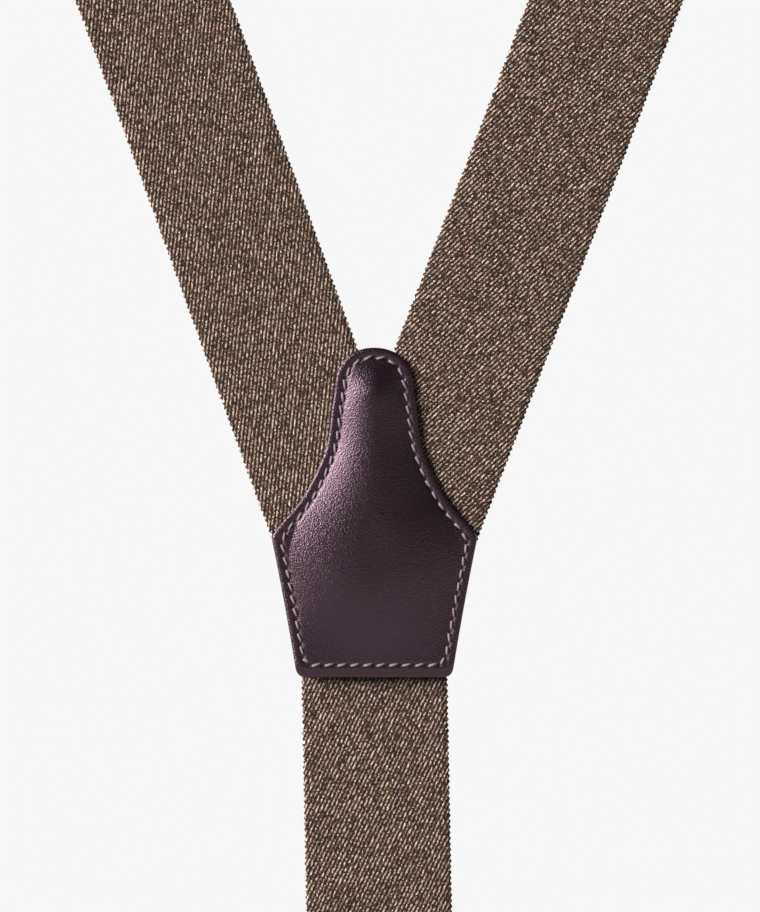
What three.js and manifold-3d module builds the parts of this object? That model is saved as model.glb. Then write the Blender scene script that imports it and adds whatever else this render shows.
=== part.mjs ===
// Y-back suspenders: two shoulder straps and one back strap sewn under a leather yoke, with sliding adjusters
// on the front straps and three lever clips. Millimetres, +Z up, as worn: the back is towards -Y, the wearer's
// left is -X, and the origin is midway between the straps at the top of the shoulders.
import * as THREE from "three";
import { mergeVertices } from "three/addons/utils/BufferGeometryUtils.js";
import Module from "manifold-3d";

const wasm = await Module();
wasm.setup();

// Driving dimensions
const clearance = 0.3; // between pieces that touch
const webbingWidth = 35;
const webbingThickness = 1.6;
const strapLean = THREE.MathUtils.degToRad(20.5); // of each shoulder strap from the vertical, on the back
const strapDepth = 220; // from the back stretch to the front stretch, middle to middle
const crossingHeight = -335; // where the shoulder straps' centre lines meet
const strapLowEnd = crossingHeight - 13; // the sewn-in ends of the shoulder straps
const shoulderStrapFrontEnd = -255; // below this height the front strap moves with its clip
const turnSteps = 44;

const yokeTop = crossingHeight + 62;
const yokeHeight = 79.1;
const yokeNeck = 9.5; // half-widths
const yokeShoulder = 24.75;
const yokeFoot = 18.9;
const yokeCapDepth = 9.9; // depths below the yoke's top
const yokeShoulderDepth = 45.3;
const yokeFootRadius = 2;
const faceLeather = 1.4;
const liningLeather = 1.2;
const yokeCrown = 3.4;
const yokeBorder = 3.3;
const crownSlope = 9;
const paddingInset = 6.8;

const barHeight = -448; // the clips' strap bars
const barRadius = 1.5;
const loopRadius = barRadius + 0.35 + webbingThickness / 2; // of the webbing's middle around a strap bar
const loopLeg = 5;
const backFoldTop = -412;
const clipWidth = 42;
const slotHalfWidth = 18.4;
const slotBottom = -5.5;
const plateThickness = 1.2;
const plateBack = -2.4; // outward positions from the bar's axis
const clipBottom = -50;
const jawHalfWidth = 14.4;
const cheekInside = 13.2;
const padThickness = 1.5;
const padHalfWidth = 11;
const padHeight = 11;
const jawGap = 2.4;
const toothReach = 4.5;
const clipPivotDrop = 43;
const clipPinRadius = 1.1;

const adjusterHeight = -370;
const adjusterHalfWidth = 20.1;
const adjusterCheekInside = 18.5;
const adjusterPlate = 1;
const adjusterPivot = new THREE.Vector2(6.6, 5); // outward and up, from the adjuster's centre
const adjusterPinRadius = 1;
const adjusterToothReach = 2.8;
const crossbar = new THREE.Vector2(-5, -6);
const crossbarRadius = 1.2;
const foldRadius = crossbarRadius + 0.35 + webbingThickness / 2;
const foldTailEnd = -34; // below the adjuster's centre

const axisX = new THREE.Vector3(1, 0, 0);
const axisY = new THREE.Vector3(0, 1, 0);
const axisZ = new THREE.Vector3(0, 0, 1);

// Materials
const webbing = () => new THREE.MeshStandardMaterial({ color: 0x6a584d, roughness: 0.95, metalness: 0 });
const yokeLeather = () => new THREE.MeshStandardMaterial({ color: 0x3a2a33, roughness: 0.42, metalness: 0 });
const liningHide = () => new THREE.MeshStandardMaterial({ color: 0x4a3740, roughness: 0.6, metalness: 0 });
const filler = () => new THREE.MeshStandardMaterial({ color: 0xb9ada0, roughness: 1, metalness: 0 });
const nickel = () => new THREE.MeshStandardMaterial({ color: 0xc4c0b8, roughness: 0.25, metalness: 1 });
const padPlastic = () => new THREE.MeshStandardMaterial({ color: 0x2b2526, roughness: 0.55, metalness: 0 });

// Solids from closed geometries, and back
function solidOf(geometry) {
  const bare = geometry.clone();
  bare.deleteAttribute("normal");
  bare.deleteAttribute("uv");
  const merged = mergeVertices(bare, 1e-4);
  const vertProperties = merged.attributes.position.array;
  const triVerts = new Uint32Array(merged.index.array);
  return new wasm.Manifold(new wasm.Mesh({ numProp: 3, vertProperties, triVerts }));
}

function geometryOf(solid) {
  const mesh = solid.getMesh();
  const geometry = new THREE.BufferGeometry();
  geometry.setAttribute("position", new THREE.BufferAttribute(mesh.vertProperties, 3));
  geometry.setIndex(new THREE.BufferAttribute(mesh.triVerts, 1));
  return geometry;
}

function join(first, ...others) {
  return geometryOf(others.reduce((sum, other) => sum.add(solidOf(other)), solidOf(first)));
}

function cut(body, ...tools) {
  return geometryOf(tools.reduce((rest, tool) => rest.subtract(solidOf(tool)), solidOf(body)));
}

function overlap(first, second) {
  return geometryOf(solidOf(first).intersect(solidOf(second)));
}

function namedMesh(name, geometry, material) {
  const mesh = new THREE.Mesh(geometry, material);
  mesh.name = name;
  return mesh;
}

// A box from its low and high corners
function boxBetween(low, high) {
  const size = high.clone().sub(low);
  const centre = high.clone().add(low).multiplyScalar(0.5);
  return new THREE.BoxGeometry(size.x, size.y, size.z).translate(centre.x, centre.y, centre.z);
}

// A pin along X at a place given as outward and up
function crossPin(place, radius, length, sides = 20) {
  return new THREE.CylinderGeometry(radius, radius, length, sides)
    .rotateZ(Math.PI / 2)
    .translate(0, place.x, place.y);
}

// A profile drawn as outward and up, carried across the strap's width and centred on it
function acrossStrap(shape, width) {
  const turned = new THREE.Matrix4().makeBasis(axisY, axisZ, axisX);
  return new THREE.ExtrudeGeometry(shape, { depth: width, bevelEnabled: false, curveSegments: 8 })
    .applyMatrix4(turned)
    .translate(-width / 2, 0, 0);
}

// A front outline drawn as across and up, with its outer face at the given place
function frontPlate(shape, outerFace, thickness) {
  const turned = new THREE.Matrix4().makeBasis(axisX, axisZ, axisY.clone().negate());
  return new THREE.ExtrudeGeometry(shape, { depth: thickness, bevelEnabled: false, curveSegments: 6 })
    .applyMatrix4(turned)
    .translate(0, outerFace, 0);
}

// The outline of a strip of even thickness along a line of points
function stripShape(points, thickness) {
  const offsetLine = (distance) =>
    points.map((point, i) => {
      const before = points[Math.max(i - 1, 0)];
      const after = points[Math.min(i + 1, points.length - 1)];
      const along = new THREE.Vector2().subVectors(after, before).normalize();
      return new THREE.Vector2(point.x - along.y * distance, point.y + along.x * distance);
    });
  return new THREE.Shape([...offsetLine(-thickness / 2), ...offsetLine(thickness / 2).reverse()]);
}

function arcPoints(centre, radius, startDegrees, endDegrees, steps) {
  return Array.from({ length: steps + 1 }, (_, i) => {
    const angle = THREE.MathUtils.degToRad(startDegrees + ((endDegrees - startDegrees) * i) / steps);
    return new THREE.Vector2(centre.x + radius * Math.cos(angle), centre.y + radius * Math.sin(angle));
  });
}

// Shoulder strap. The strap heads up the back, forward over the shoulder and down the front; its heading turns
// half a circle with a curvature that rises and falls as a raised cosine, and its lean fades out at the top.
const heading = (t) => Math.PI * t - Math.sin(2 * Math.PI * t) / 2;
const leanAt = (t) => strapLean * (1 - THREE.MathUtils.smoothstep(t, 0.3, 0.7));

function strapStation(side, t, centre) {
  const lean = leanAt(t);
  const up = new THREE.Vector3(side * Math.sin(lean), 0, Math.cos(lean));
  const along = up.clone().multiplyScalar(Math.cos(heading(t))).addScaledVector(axisY, Math.sin(heading(t)));
  const outward = up.clone().multiplyScalar(Math.sin(heading(t))).addScaledVector(axisY, -Math.cos(heading(t)));
  const across = new THREE.Vector3(Math.cos(lean), 0, -side * Math.sin(lean));
  return { centre, along, outward, across };
}

function shoulderStations(side) {
  const middles = Array.from({ length: turnSteps }, (_, i) => (i + 0.5) / turnSteps);
  const span = middles.reduce((sum, t) => sum + Math.sin(heading(t)) / turnSteps, 0);
  const stepLength = strapDepth / span / turnSteps;
  const turn = [new THREE.Vector3()];
  for (const t of middles) {
    turn.push(turn.at(-1).clone().addScaledVector(strapStation(side, t).along, stepLength));
  }
  const startHeight = -Math.max(...turn.map((point) => point.z));
  const startSide = side * (startHeight - crossingHeight) * Math.tan(strapLean);
  const start = new THREE.Vector3(startSide, -strapDepth / 2, startHeight);
  const stations = turn.map((point, i) => strapStation(side, i / turnSteps, point.add(start)));
  const lowSide = side * (strapLowEnd - 12 - crossingHeight) * Math.tan(strapLean);
  stations.unshift(strapStation(side, 0, new THREE.Vector3(lowSide, -strapDepth / 2, strapLowEnd - 12)));
  const front = stations.at(-1).centre;
  stations.push(strapStation(side, 1, new THREE.Vector3(front.x, front.y, shoulderStrapFrontEnd)));
  return stations;
}

function webbingAlong(stations) {
  const steps = stations.length - 1;
  const geometry = new THREE.BoxGeometry(webbingWidth, webbingThickness, 1, 2, 1, steps);
  const position = geometry.attributes.position;
  for (let i = 0; i < position.count; i++) {
    const station = stations[Math.round((position.getZ(i) + 0.5) * steps)];
    const point = station.centre.clone();
    point.addScaledVector(station.across, position.getX(i));
    point.addScaledVector(station.outward, -position.getY(i));
    position.setXYZ(i, point.x, point.y, point.z);
  }
  return geometry;
}

// The shoulder strap, cut off square inside the yoke and mitred where the two straps meet
function shoulderStrap(side) {
  const reach = 60;
  const mitre = boxBetween(
    new THREE.Vector3(side > 0 ? -reach : -clearance / 2, -strapDepth / 2 - 2, strapLowEnd - reach),
    new THREE.Vector3(side > 0 ? clearance / 2 : reach, -strapDepth / 2 + 2, crossingHeight + reach),
  );
  const foot = boxBetween(
    new THREE.Vector3(-reach, -strapDepth / 2 - 2, strapLowEnd - reach),
    new THREE.Vector3(reach, -strapDepth / 2 + 2, strapLowEnd),
  );
  return cut(webbingAlong(shoulderStations(side)), mitre, foot);
}

// Yoke. Its outline is a row of half-widths down its height: a round cap, a neck that flares to the side
// corners, slightly hollow sides, and small round corners at the foot.
function yokeOutline() {
  const cap = [0.01, 0.05, 0.12, 0.25, 0.42, 0.62, 0.82].map((share) => {
    const fullness = 2.2;
    const width = yokeNeck * (1 - (1 - share) ** fullness) ** (1 / fullness);
    return new THREE.Vector2(width, yokeCapDepth * share);
  });
  cap[0].y = 0;
  const neck = new THREE.SplineCurve([
    new THREE.Vector2(yokeNeck, yokeCapDepth),
    new THREE.Vector2(10.3, 15),
    new THREE.Vector2(11.8, 24.5),
    new THREE.Vector2(16.9, 35.4),
    new THREE.Vector2(22.7, 42.5),
    new THREE.Vector2(yokeShoulder, yokeShoulderDepth),
  ]);
  const side = new THREE.QuadraticBezierCurve(
    new THREE.Vector2(yokeShoulder, yokeShoulderDepth),
    new THREE.Vector2(21.5, 61),
    new THREE.Vector2(yokeFoot, yokeHeight - yokeFootRadius),
  );
  const footCentre = new THREE.Vector2(yokeFoot - yokeFootRadius, yokeHeight - yokeFootRadius);
  return [
    ...cap,
    ...neck.getPoints(11),
    ...side.getPoints(6).slice(1),
    ...arcPoints(footCentre, yokeFootRadius, 0, 85, 3).slice(1),
  ];
}

const outline = yokeOutline();
outline.at(-1).y = yokeHeight;

function yokeHalfWidth(depth) {
  const next = Math.max(outline.findIndex((point) => point.y >= depth - 1e-9), 1);
  const above = outline[next - 1];
  const below = outline[next];
  return THREE.MathUtils.mapLinear(depth, above.y, below.y, above.x, below.x);
}

// How far the crown stands above the flat border, at a place across and at a depth
function crownHeight(x, depth) {
  const fromSide = yokeHalfWidth(depth) - Math.abs(x);
  const fromEnds = Math.min(depth, yokeHeight - depth);
  const rise = (distance) => THREE.MathUtils.smoothstep(distance, yokeBorder, yokeBorder + crownSlope);
  return yokeCrown * rise(fromSide) * rise(fromEnds);
}

// A sheet with rows of given half-widths and depths, between an inner and an outer height above its base
function yokeSheet(rows, columns, base, innerHeight, outerHeight) {
  const geometry = new THREE.BoxGeometry(2, 1, 1, columns, 1, rows.length - 1);
  const position = geometry.attributes.position;
  for (let i = 0; i < position.count; i++) {
    const row = rows[Math.round((0.5 - position.getZ(i)) * (rows.length - 1))];
    const x = position.getX(i) * row.x;
    const height = position.getY(i) < 0 ? outerHeight(x, row.y) : innerHeight(x, row.y);
    position.setXYZ(i, x, base - height, yokeTop - row.y);
  }
  return geometry;
}

const strapOuterFace = -strapDepth / 2 - webbingThickness / 2;
const backStrapMiddle = -strapDepth / 2 + webbingThickness + clearance;
const liningOuterFace = backStrapMiddle + webbingThickness / 2 + clearance + liningLeather;

function yokeFace() {
  const border = clearance;
  const inner = (x, depth) => border + crownHeight(x, depth);
  const outer = (x, depth) => border + faceLeather + crownHeight(x, depth);
  return yokeSheet(outline, 14, strapOuterFace, inner, outer);
}

function yokePadding() {
  const steps = 16;
  const rows = Array.from({ length: steps + 1 }, (_, i) => {
    const depth = THREE.MathUtils.lerp(paddingInset, yokeHeight - paddingInset, i / steps);
    return new THREE.Vector2(yokeHalfWidth(depth) - paddingInset, depth);
  });
  const fullness = 0.8; // of the room under the crown
  const outer = (x, depth) => clearance + fullness * (crownHeight(x, depth) - clearance);
  return yokeSheet(rows, 8, strapOuterFace, () => clearance, outer);
}

function yokeLining() {
  const inset = 0.4;
  const rows = outline.map((row) => new THREE.Vector2(row.x - inset, row.y));
  return yokeSheet(rows, 1, liningOuterFace, () => 0, () => liningLeather);
}

function backStrapRun() {
  const half = webbingThickness / 2;
  return boxBetween(
    new THREE.Vector3(-webbingWidth / 2, backStrapMiddle - half, backFoldTop + clearance),
    new THREE.Vector3(webbingWidth / 2, backStrapMiddle + half, yokeTop - yokeHeight + 26),
  );
}

// Webbing around a strap bar, drawn from the bar's axis: down the outer side, under the bar and up the inner side
function barLoop(outerTop, innerPoints) {
  const under = arcPoints(new THREE.Vector2(), loopRadius, 0, -180, 10);
  const line = [new THREE.Vector2(loopRadius, outerTop), ...under, ...innerPoints];
  return acrossStrap(stripShape(line, webbingThickness), webbingWidth);
}

function clipLoop() {
  return barLoop(loopLeg, [new THREE.Vector2(-loopRadius, loopLeg)]);
}

// The back strap's end: folded around its bar, with its tail laid flat against the strap and sewn
function backStrapFold() {
  const tail = loopRadius - webbingThickness - clearance;
  return barLoop(backFoldTop - barHeight, [
    new THREE.Vector2(-loopRadius, 2),
    new THREE.Vector2(-loopRadius * 0.6, 5),
    new THREE.Vector2(tail * 0.4, 8),
    new THREE.Vector2(tail, 11),
    new THREE.Vector2(tail, 31),
  ]);
}

// One straight stretch of a front strap, drawn from the bar's axis
function straightRun(outward, low, high) {
  const half = webbingThickness / 2;
  return boxBetween(
    new THREE.Vector3(-webbingWidth / 2, outward - half, low),
    new THREE.Vector3(webbingWidth / 2, outward + half, high),
  );
}

// Clip, drawn from its strap bar's axis with +Y outward
const padFace = plateBack + plateThickness + clearance + padThickness;
const clipPivot = new THREE.Vector2(padFace + jawGap + toothReach, -clipPivotDrop);

function clipPlateShape() {
  const half = clipWidth / 2;
  const corner = 4;
  const shape = new THREE.Shape();
  shape.moveTo(-half, slotBottom);
  shape.lineTo(-half, -12);
  shape.quadraticCurveTo(-half, -22, -jawHalfWidth, -30);
  shape.lineTo(-jawHalfWidth, clipBottom + corner);
  shape.quadraticCurveTo(-jawHalfWidth, clipBottom, -jawHalfWidth + corner, clipBottom);
  shape.lineTo(jawHalfWidth - corner, clipBottom);
  shape.quadraticCurveTo(jawHalfWidth, clipBottom, jawHalfWidth, clipBottom + corner);
  shape.lineTo(jawHalfWidth, -30);
  shape.quadraticCurveTo(half, -22, half, -12);
  shape.lineTo(half, slotBottom);
  shape.closePath();
  return shape;
}

function clipCheekShape() {
  const reach = 2.2;
  const foot = plateBack + plateThickness / 2;
  const shape = new THREE.Shape();
  shape.moveTo(foot, clipPivot.y - 5);
  shape.lineTo(clipPivot.x, clipPivot.y - reach);
  shape.absarc(clipPivot.x, clipPivot.y, reach, -Math.PI / 2, Math.PI / 2, false);
  shape.lineTo(foot, clipPivot.y + 9);
  shape.closePath();
  return shape;
}

function clipBase() {
  const half = clipWidth / 2;
  const plate = frontPlate(clipPlateShape(), plateBack + plateThickness, plateThickness);
  const bar = crossPin(new THREE.Vector2(), barRadius, clipWidth);
  const arms = [-1, 1].map((side) =>
    boxBetween(
      new THREE.Vector3(side > 0 ? slotHalfWidth : -half, plateBack, slotBottom - 1),
      new THREE.Vector3(side > 0 ? half : -slotHalfWidth, barRadius, barRadius),
    ),
  );
  const cheekThickness = jawHalfWidth - cheekInside;
  const cheeks = [-1, 1].map((side) =>
    acrossStrap(clipCheekShape(), cheekThickness).translate((side * (jawHalfWidth + cheekInside)) / 2, 0, 0),
  );
  const pinHole = crossPin(clipPivot, clipPinRadius + clearance, clipWidth);
  return cut(join(plate, bar, ...arms, ...cheeks), pinHole);
}

function clipPad() {
  return boxBetween(
    new THREE.Vector3(-padHalfWidth, padFace - padThickness, -clipPivotDrop - padHeight / 2),
    new THREE.Vector3(padHalfWidth, padFace, -clipPivotDrop + padHeight / 2),
  );
}

function clipPin() {
  return crossPin(clipPivot, clipPinRadius, jawHalfWidth * 2);
}

// The cam with its gripping tooth, at a pivot given as outward and up
function camShape(pivot, hubRadius, reach) {
  const toothHalf = 1;
  const turn = Math.asin(toothHalf / hubRadius);
  const shape = new THREE.Shape();
  shape.absarc(pivot.x, pivot.y, hubRadius, Math.PI + turn, 3 * Math.PI - turn, false);
  shape.lineTo(pivot.x - reach, pivot.y + toothHalf);
  shape.lineTo(pivot.x - reach, pivot.y - toothHalf);
  shape.closePath();
  return shape;
}

// The clip's lever: a cam between the cheeks and a cover plate that widens above them
function clipLever() {
  const hubRadius = 2.5;
  const thickness = 1.4;
  const camHalf = cheekInside - 0.4;
  const coverLine = new THREE.SplineCurve([
    new THREE.Vector2(clipPivot.x + hubRadius - thickness / 2, clipPivot.y - 0.5),
    new THREE.Vector2(clipPivot.x + 1.6, -34),
    new THREE.Vector2(clipPivot.x + 0.4, -22),
    new THREE.Vector2(clipPivot.x - 0.9, -12),
    new THREE.Vector2(clipPivot.x + 0.2, -7.5),
  ]);
  const front = new THREE.Shape();
  const widest = 18.5;
  front.moveTo(-camHalf, -60);
  front.lineTo(-camHalf, -32);
  front.quadraticCurveTo(-widest, -25, -widest, -16);
  front.quadraticCurveTo(-widest, -6, -widest + 8, -6);
  front.lineTo(widest - 8, -6);
  front.quadraticCurveTo(widest, -6, widest, -16);
  front.quadraticCurveTo(widest, -25, camHalf, -32);
  front.lineTo(camHalf, -60);
  front.closePath();
  const cover = overlap(
    acrossStrap(stripShape(coverLine.getPoints(18), thickness), clipWidth),
    frontPlate(front, 20, 30),
  );
  const cam = acrossStrap(camShape(clipPivot, hubRadius, toothReach), camHalf * 2);
  const bore = crossPin(clipPivot, clipPinRadius + clearance, clipWidth);
  return cut(join(cam, cover), bore);
}

// Adjuster, drawn from its centre with +Y outward
function adjusterFrame() {
  const top = 9;
  const cheek = new THREE.Shape([
    new THREE.Vector2(-7.4, -9),
    new THREE.Vector2(-2.2, -9),
    new THREE.Vector2(8.9, 1.5),
    new THREE.Vector2(8.9, top - 1.5),
    new THREE.Vector2(7.4, top),
    new THREE.Vector2(0.2, top),
    new THREE.Vector2(-7.4, -2.6),
  ]);
  const cheekThickness = adjusterHalfWidth - adjusterCheekInside;
  const cheeks = [-1, 1].map((side) =>
    acrossStrap(cheek, cheekThickness).translate((side * (adjusterHalfWidth + adjusterCheekInside)) / 2, 0, 0),
  );
  const plate = boxBetween(
    new THREE.Vector3(-adjusterHalfWidth, 0.5, -5.5),
    new THREE.Vector3(adjusterHalfWidth, 0.5 + adjusterPlate, top),
  );
  const holes = [
    crossPin(adjusterPivot, adjusterPinRadius + clearance, clipWidth),
    crossPin(crossbar, crossbarRadius + clearance, clipWidth),
  ];
  return cut(join(plate, ...cheeks), ...holes);
}

function adjusterLever() {
  const hubRadius = 2.2;
  const thickness = 1.3;
  const half = adjusterCheekInside - 0.4;
  const coverLine = new THREE.SplineCurve([
    new THREE.Vector2(adjusterPivot.x + hubRadius - thickness / 2, adjusterPivot.y + 0.5),
    new THREE.Vector2(adjusterPivot.x + 1.4, 0),
    new THREE.Vector2(adjusterPivot.x + 0.6, -6),
    new THREE.Vector2(adjusterPivot.x + 1.3, -11),
  ]);
  const cover = acrossStrap(stripShape(coverLine.getPoints(10), thickness), half * 2);
  const cam = acrossStrap(camShape(adjusterPivot, hubRadius, adjusterToothReach), half * 2);
  const bore = crossPin(adjusterPivot, adjusterPinRadius + clearance, clipWidth);
  return cut(join(cam, cover), bore);
}

// The front strap's free end: up behind the strap, over the adjuster's crossbar, and sewn down behind itself
function returnFold() {
  const run = crossbar.x + foldRadius;
  const tail = run - webbingThickness - clearance;
  const line = [
    new THREE.Vector2(run, foldTailEnd),
    ...arcPoints(crossbar, foldRadius, 0, 180, 10),
    new THREE.Vector2(crossbar.x - foldRadius, crossbar.y - 2),
    new THREE.Vector2(crossbar.x - foldRadius * 0.6, crossbar.y - 5),
    new THREE.Vector2(tail - 0.6, crossbar.y - 8.5),
    new THREE.Vector2(tail, crossbar.y - 12),
    new THREE.Vector2(tail, foldTailEnd),
  ];
  return acrossStrap(stripShape(line, webbingThickness), webbingWidth);
}

function clipParts(prefix) {
  const clip = new THREE.Group();
  clip.add(
    namedMesh(prefix + "_clip_base", clipBase(), nickel()),
    namedMesh(prefix + "_clip_pad", clipPad(), padPlastic()),
    namedMesh(prefix + "_clip_pin", clipPin(), nickel()),
    namedMesh(prefix + "_clip_lever", clipLever(), nickel()),
  );
  return clip;
}

function adjusterParts(prefix) {
  const adjuster = new THREE.Group();
  const width = adjusterHalfWidth * 2;
  adjuster.add(
    namedMesh(prefix + "_adjuster_frame", adjusterFrame(), nickel()),
    namedMesh(prefix + "_adjuster_crossbar", crossPin(crossbar, crossbarRadius, width), nickel()),
    namedMesh(prefix + "_adjuster_pin", crossPin(adjusterPivot, adjusterPinRadius, width), nickel()),
    namedMesh(prefix + "_adjuster_lever", adjusterLever(), nickel()),
    namedMesh(prefix + "_return_fold", returnFold(), webbing()),
  );
  return adjuster;
}

// Everything that hangs from one shoulder strap's front end
function frontEnd(prefix, side) {
  const front = new THREE.Group();
  front.position.set(shoulderStations(side).at(-1).centre.x, strapDepth / 2 - loopRadius, barHeight);
  const runTop = shoulderStrapFrontEnd - clearance - barHeight;
  const foldEnd = adjusterHeight + foldTailEnd - barHeight;
  const adjuster = adjusterParts(prefix);
  adjuster.position.z = adjusterHeight - barHeight;
  front.add(
    namedMesh(prefix + "_front_run", straightRun(loopRadius, loopLeg + clearance, runTop), webbing()),
    namedMesh(prefix + "_clip_loop", clipLoop(), webbing()),
    namedMesh(
      prefix + "_return_run",
      straightRun(-loopRadius, loopLeg + clearance, foldEnd - clearance),
      webbing(),
    ),
    adjuster,
    clipParts(prefix),
  );
  return front;
}

const suspenders = new THREE.Group();
suspenders.add(
  namedMesh("yoke_face", yokeFace(), yokeLeather()),
  namedMesh("yoke_padding", yokePadding(), filler()),
  namedMesh("yoke_lining", yokeLining(), liningHide()),
  namedMesh("left_shoulder_strap", shoulderStrap(-1), webbing()),
  namedMesh("right_shoulder_strap", shoulderStrap(1), webbing()),
  namedMesh("back_strap_run", backStrapRun(), webbing()),
  frontEnd("left", -1),
  frontEnd("right", 1),
);

const backEnd = new THREE.Group();
backEnd.position.set(0, backStrapMiddle + loopRadius, barHeight);
backEnd.rotation.z = Math.PI;
backEnd.add(namedMesh("back_strap_fold", backStrapFold(), webbing()), clipParts("back"));
suspenders.add(backEnd);

export default suspenders;
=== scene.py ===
"""Y-back dress suspenders: heathered twill webbing, a domed leather yoke, sliding adjusters and lever clips.

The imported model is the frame. Every piece here is built in metres in that frame, with +Z up and the wearer's
back towards -Y, so a piece goes where its node is.
"""

import logging
import math
from collections.abc import Callable
from dataclasses import dataclass, field
from enum import Enum

import bmesh
import bpy
import numpy as np
from bpy.types import ID, Material, Node, NodeSocket, Object
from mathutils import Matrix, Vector


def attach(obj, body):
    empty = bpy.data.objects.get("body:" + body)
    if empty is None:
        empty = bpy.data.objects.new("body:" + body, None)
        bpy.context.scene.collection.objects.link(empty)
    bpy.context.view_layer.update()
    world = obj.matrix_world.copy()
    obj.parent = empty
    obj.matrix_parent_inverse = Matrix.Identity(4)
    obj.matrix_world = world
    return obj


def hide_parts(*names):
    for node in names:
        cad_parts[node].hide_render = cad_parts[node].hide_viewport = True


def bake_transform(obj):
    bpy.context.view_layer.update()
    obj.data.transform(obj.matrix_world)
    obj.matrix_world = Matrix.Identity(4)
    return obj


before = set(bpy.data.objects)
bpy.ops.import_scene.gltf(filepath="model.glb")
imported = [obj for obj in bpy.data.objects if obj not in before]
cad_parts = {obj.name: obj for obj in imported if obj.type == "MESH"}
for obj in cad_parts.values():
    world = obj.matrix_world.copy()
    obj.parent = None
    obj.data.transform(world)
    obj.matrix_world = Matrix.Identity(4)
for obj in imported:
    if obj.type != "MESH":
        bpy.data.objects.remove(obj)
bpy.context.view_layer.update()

MM = 0.001

# What several pieces share: the front straps' place each side of the middle, the height of the clips' bars,
# the loop of webbing round a bar with the straight leg after it, and the number of steps in a half turn.
FRONT_ACROSS = 120.36 * MM
BAR_HEIGHT = -448.0 * MM
LOOP_RADIUS = 2.65 * MM
LOOP_LEG = 5.3 * MM
BEND_STEPS = 24

LOG = logging.getLogger("suspenders")
Array = np.ndarray
Triple = tuple[float, float, float]


class Side(Enum):
    """The wearer's sides, with the sign of X that each lies on."""

    LEFT = -1
    RIGHT = 1


# Mesh making


def smoothstep(value: Array | float, low: float, high: float) -> Array:
    """Rises from 0 at low to 1 at high along 3t^2 - 2t^3.

    Args:
        value: Where the step is read.
        low: Where it starts.
        high: Where it ends.

    Returns:
        The step, between 0 and 1.
    """
    share = np.clip((np.asarray(value, float) - low) / (high - low), 0.0, 1.0)
    return share * share * (3.0 - 2.0 * share)


def smooth_line(points: Array, count: int) -> Array:
    """A Catmull-Rom line through points: each span is a cubic with half the neighbours' chord as end slopes.

    Args:
        points: Points to pass through, one row each.
        count: How many points each span gets.

    Returns:
        The points of the line, with the last one included.
    """
    ends = np.vstack([2 * points[:1] - points[1:2], points, 2 * points[-1:] - points[-2:-1]])
    p0, p1, p2, p3 = (ends[k : len(ends) - 3 + k][:, None] for k in range(4))
    t = (np.arange(count) / count)[None, :, None]
    spans = 0.5 * (
        2 * p1 + (p2 - p0) * t + (2 * p0 - 5 * p1 + 4 * p2 - p3) * t**2 + (3 * p1 - p0 - 3 * p2 + p3) * t**3
    )
    return np.vstack([spans.reshape(-1, points.shape[1]), points[-1:]])


def lengths_along(line: Array) -> Array:
    """The length from a line's first point to each of its points: the running sum of its straight steps."""
    return np.concatenate([[0.0], np.cumsum(np.linalg.norm(np.diff(line, axis=0), axis=1))])


def read_line(places: Array, length: Array, line: Array) -> Array:
    """The line's points at given lengths along it, straight between its own points."""
    return np.stack([np.interp(places, length, part) for part in line.T], axis=-1)


def grid_faces(rows: int, columns: int, wrap: bool = False) -> Array:
    """The quads of a grid whose points are numbered row by row.

    Args:
        rows: Rows of points.
        columns: Points in each row.
        wrap: Whether the last column joins the first.

    Returns:
        Four point numbers for each quad.
    """
    steps = columns if wrap else columns - 1
    row, column = np.meshgrid(np.arange(rows - 1), np.arange(steps), indexing="ij")
    after = (column + 1) % columns
    here, above = row * columns, (row + 1) * columns
    return np.stack((here + column, here + after, above + after, above + column), axis=-1).reshape(-1, 4)


def end_fan(ring: Array, hub: int, turned: bool = False) -> Array:
    """The triangles that close a ring of points onto one hub point.

    Args:
        ring: Point numbers in order round the ring.
        hub: The point they all meet at.
        turned: Whether to reverse the triangles.

    Returns:
        Three point numbers for each triangle.
    """
    after = np.roll(ring, -1)
    fan = np.stack([ring, after, np.full(len(ring), hub)], axis=-1)
    return fan[:, ::-1] if turned else fan


def stand(name: str, data: ID | None) -> Object:
    """Puts new data in the scene as one object, unturned at the origin."""
    made = bpy.data.objects.new(name, data)
    bpy.context.scene.collection.objects.link(made)
    return made


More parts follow.
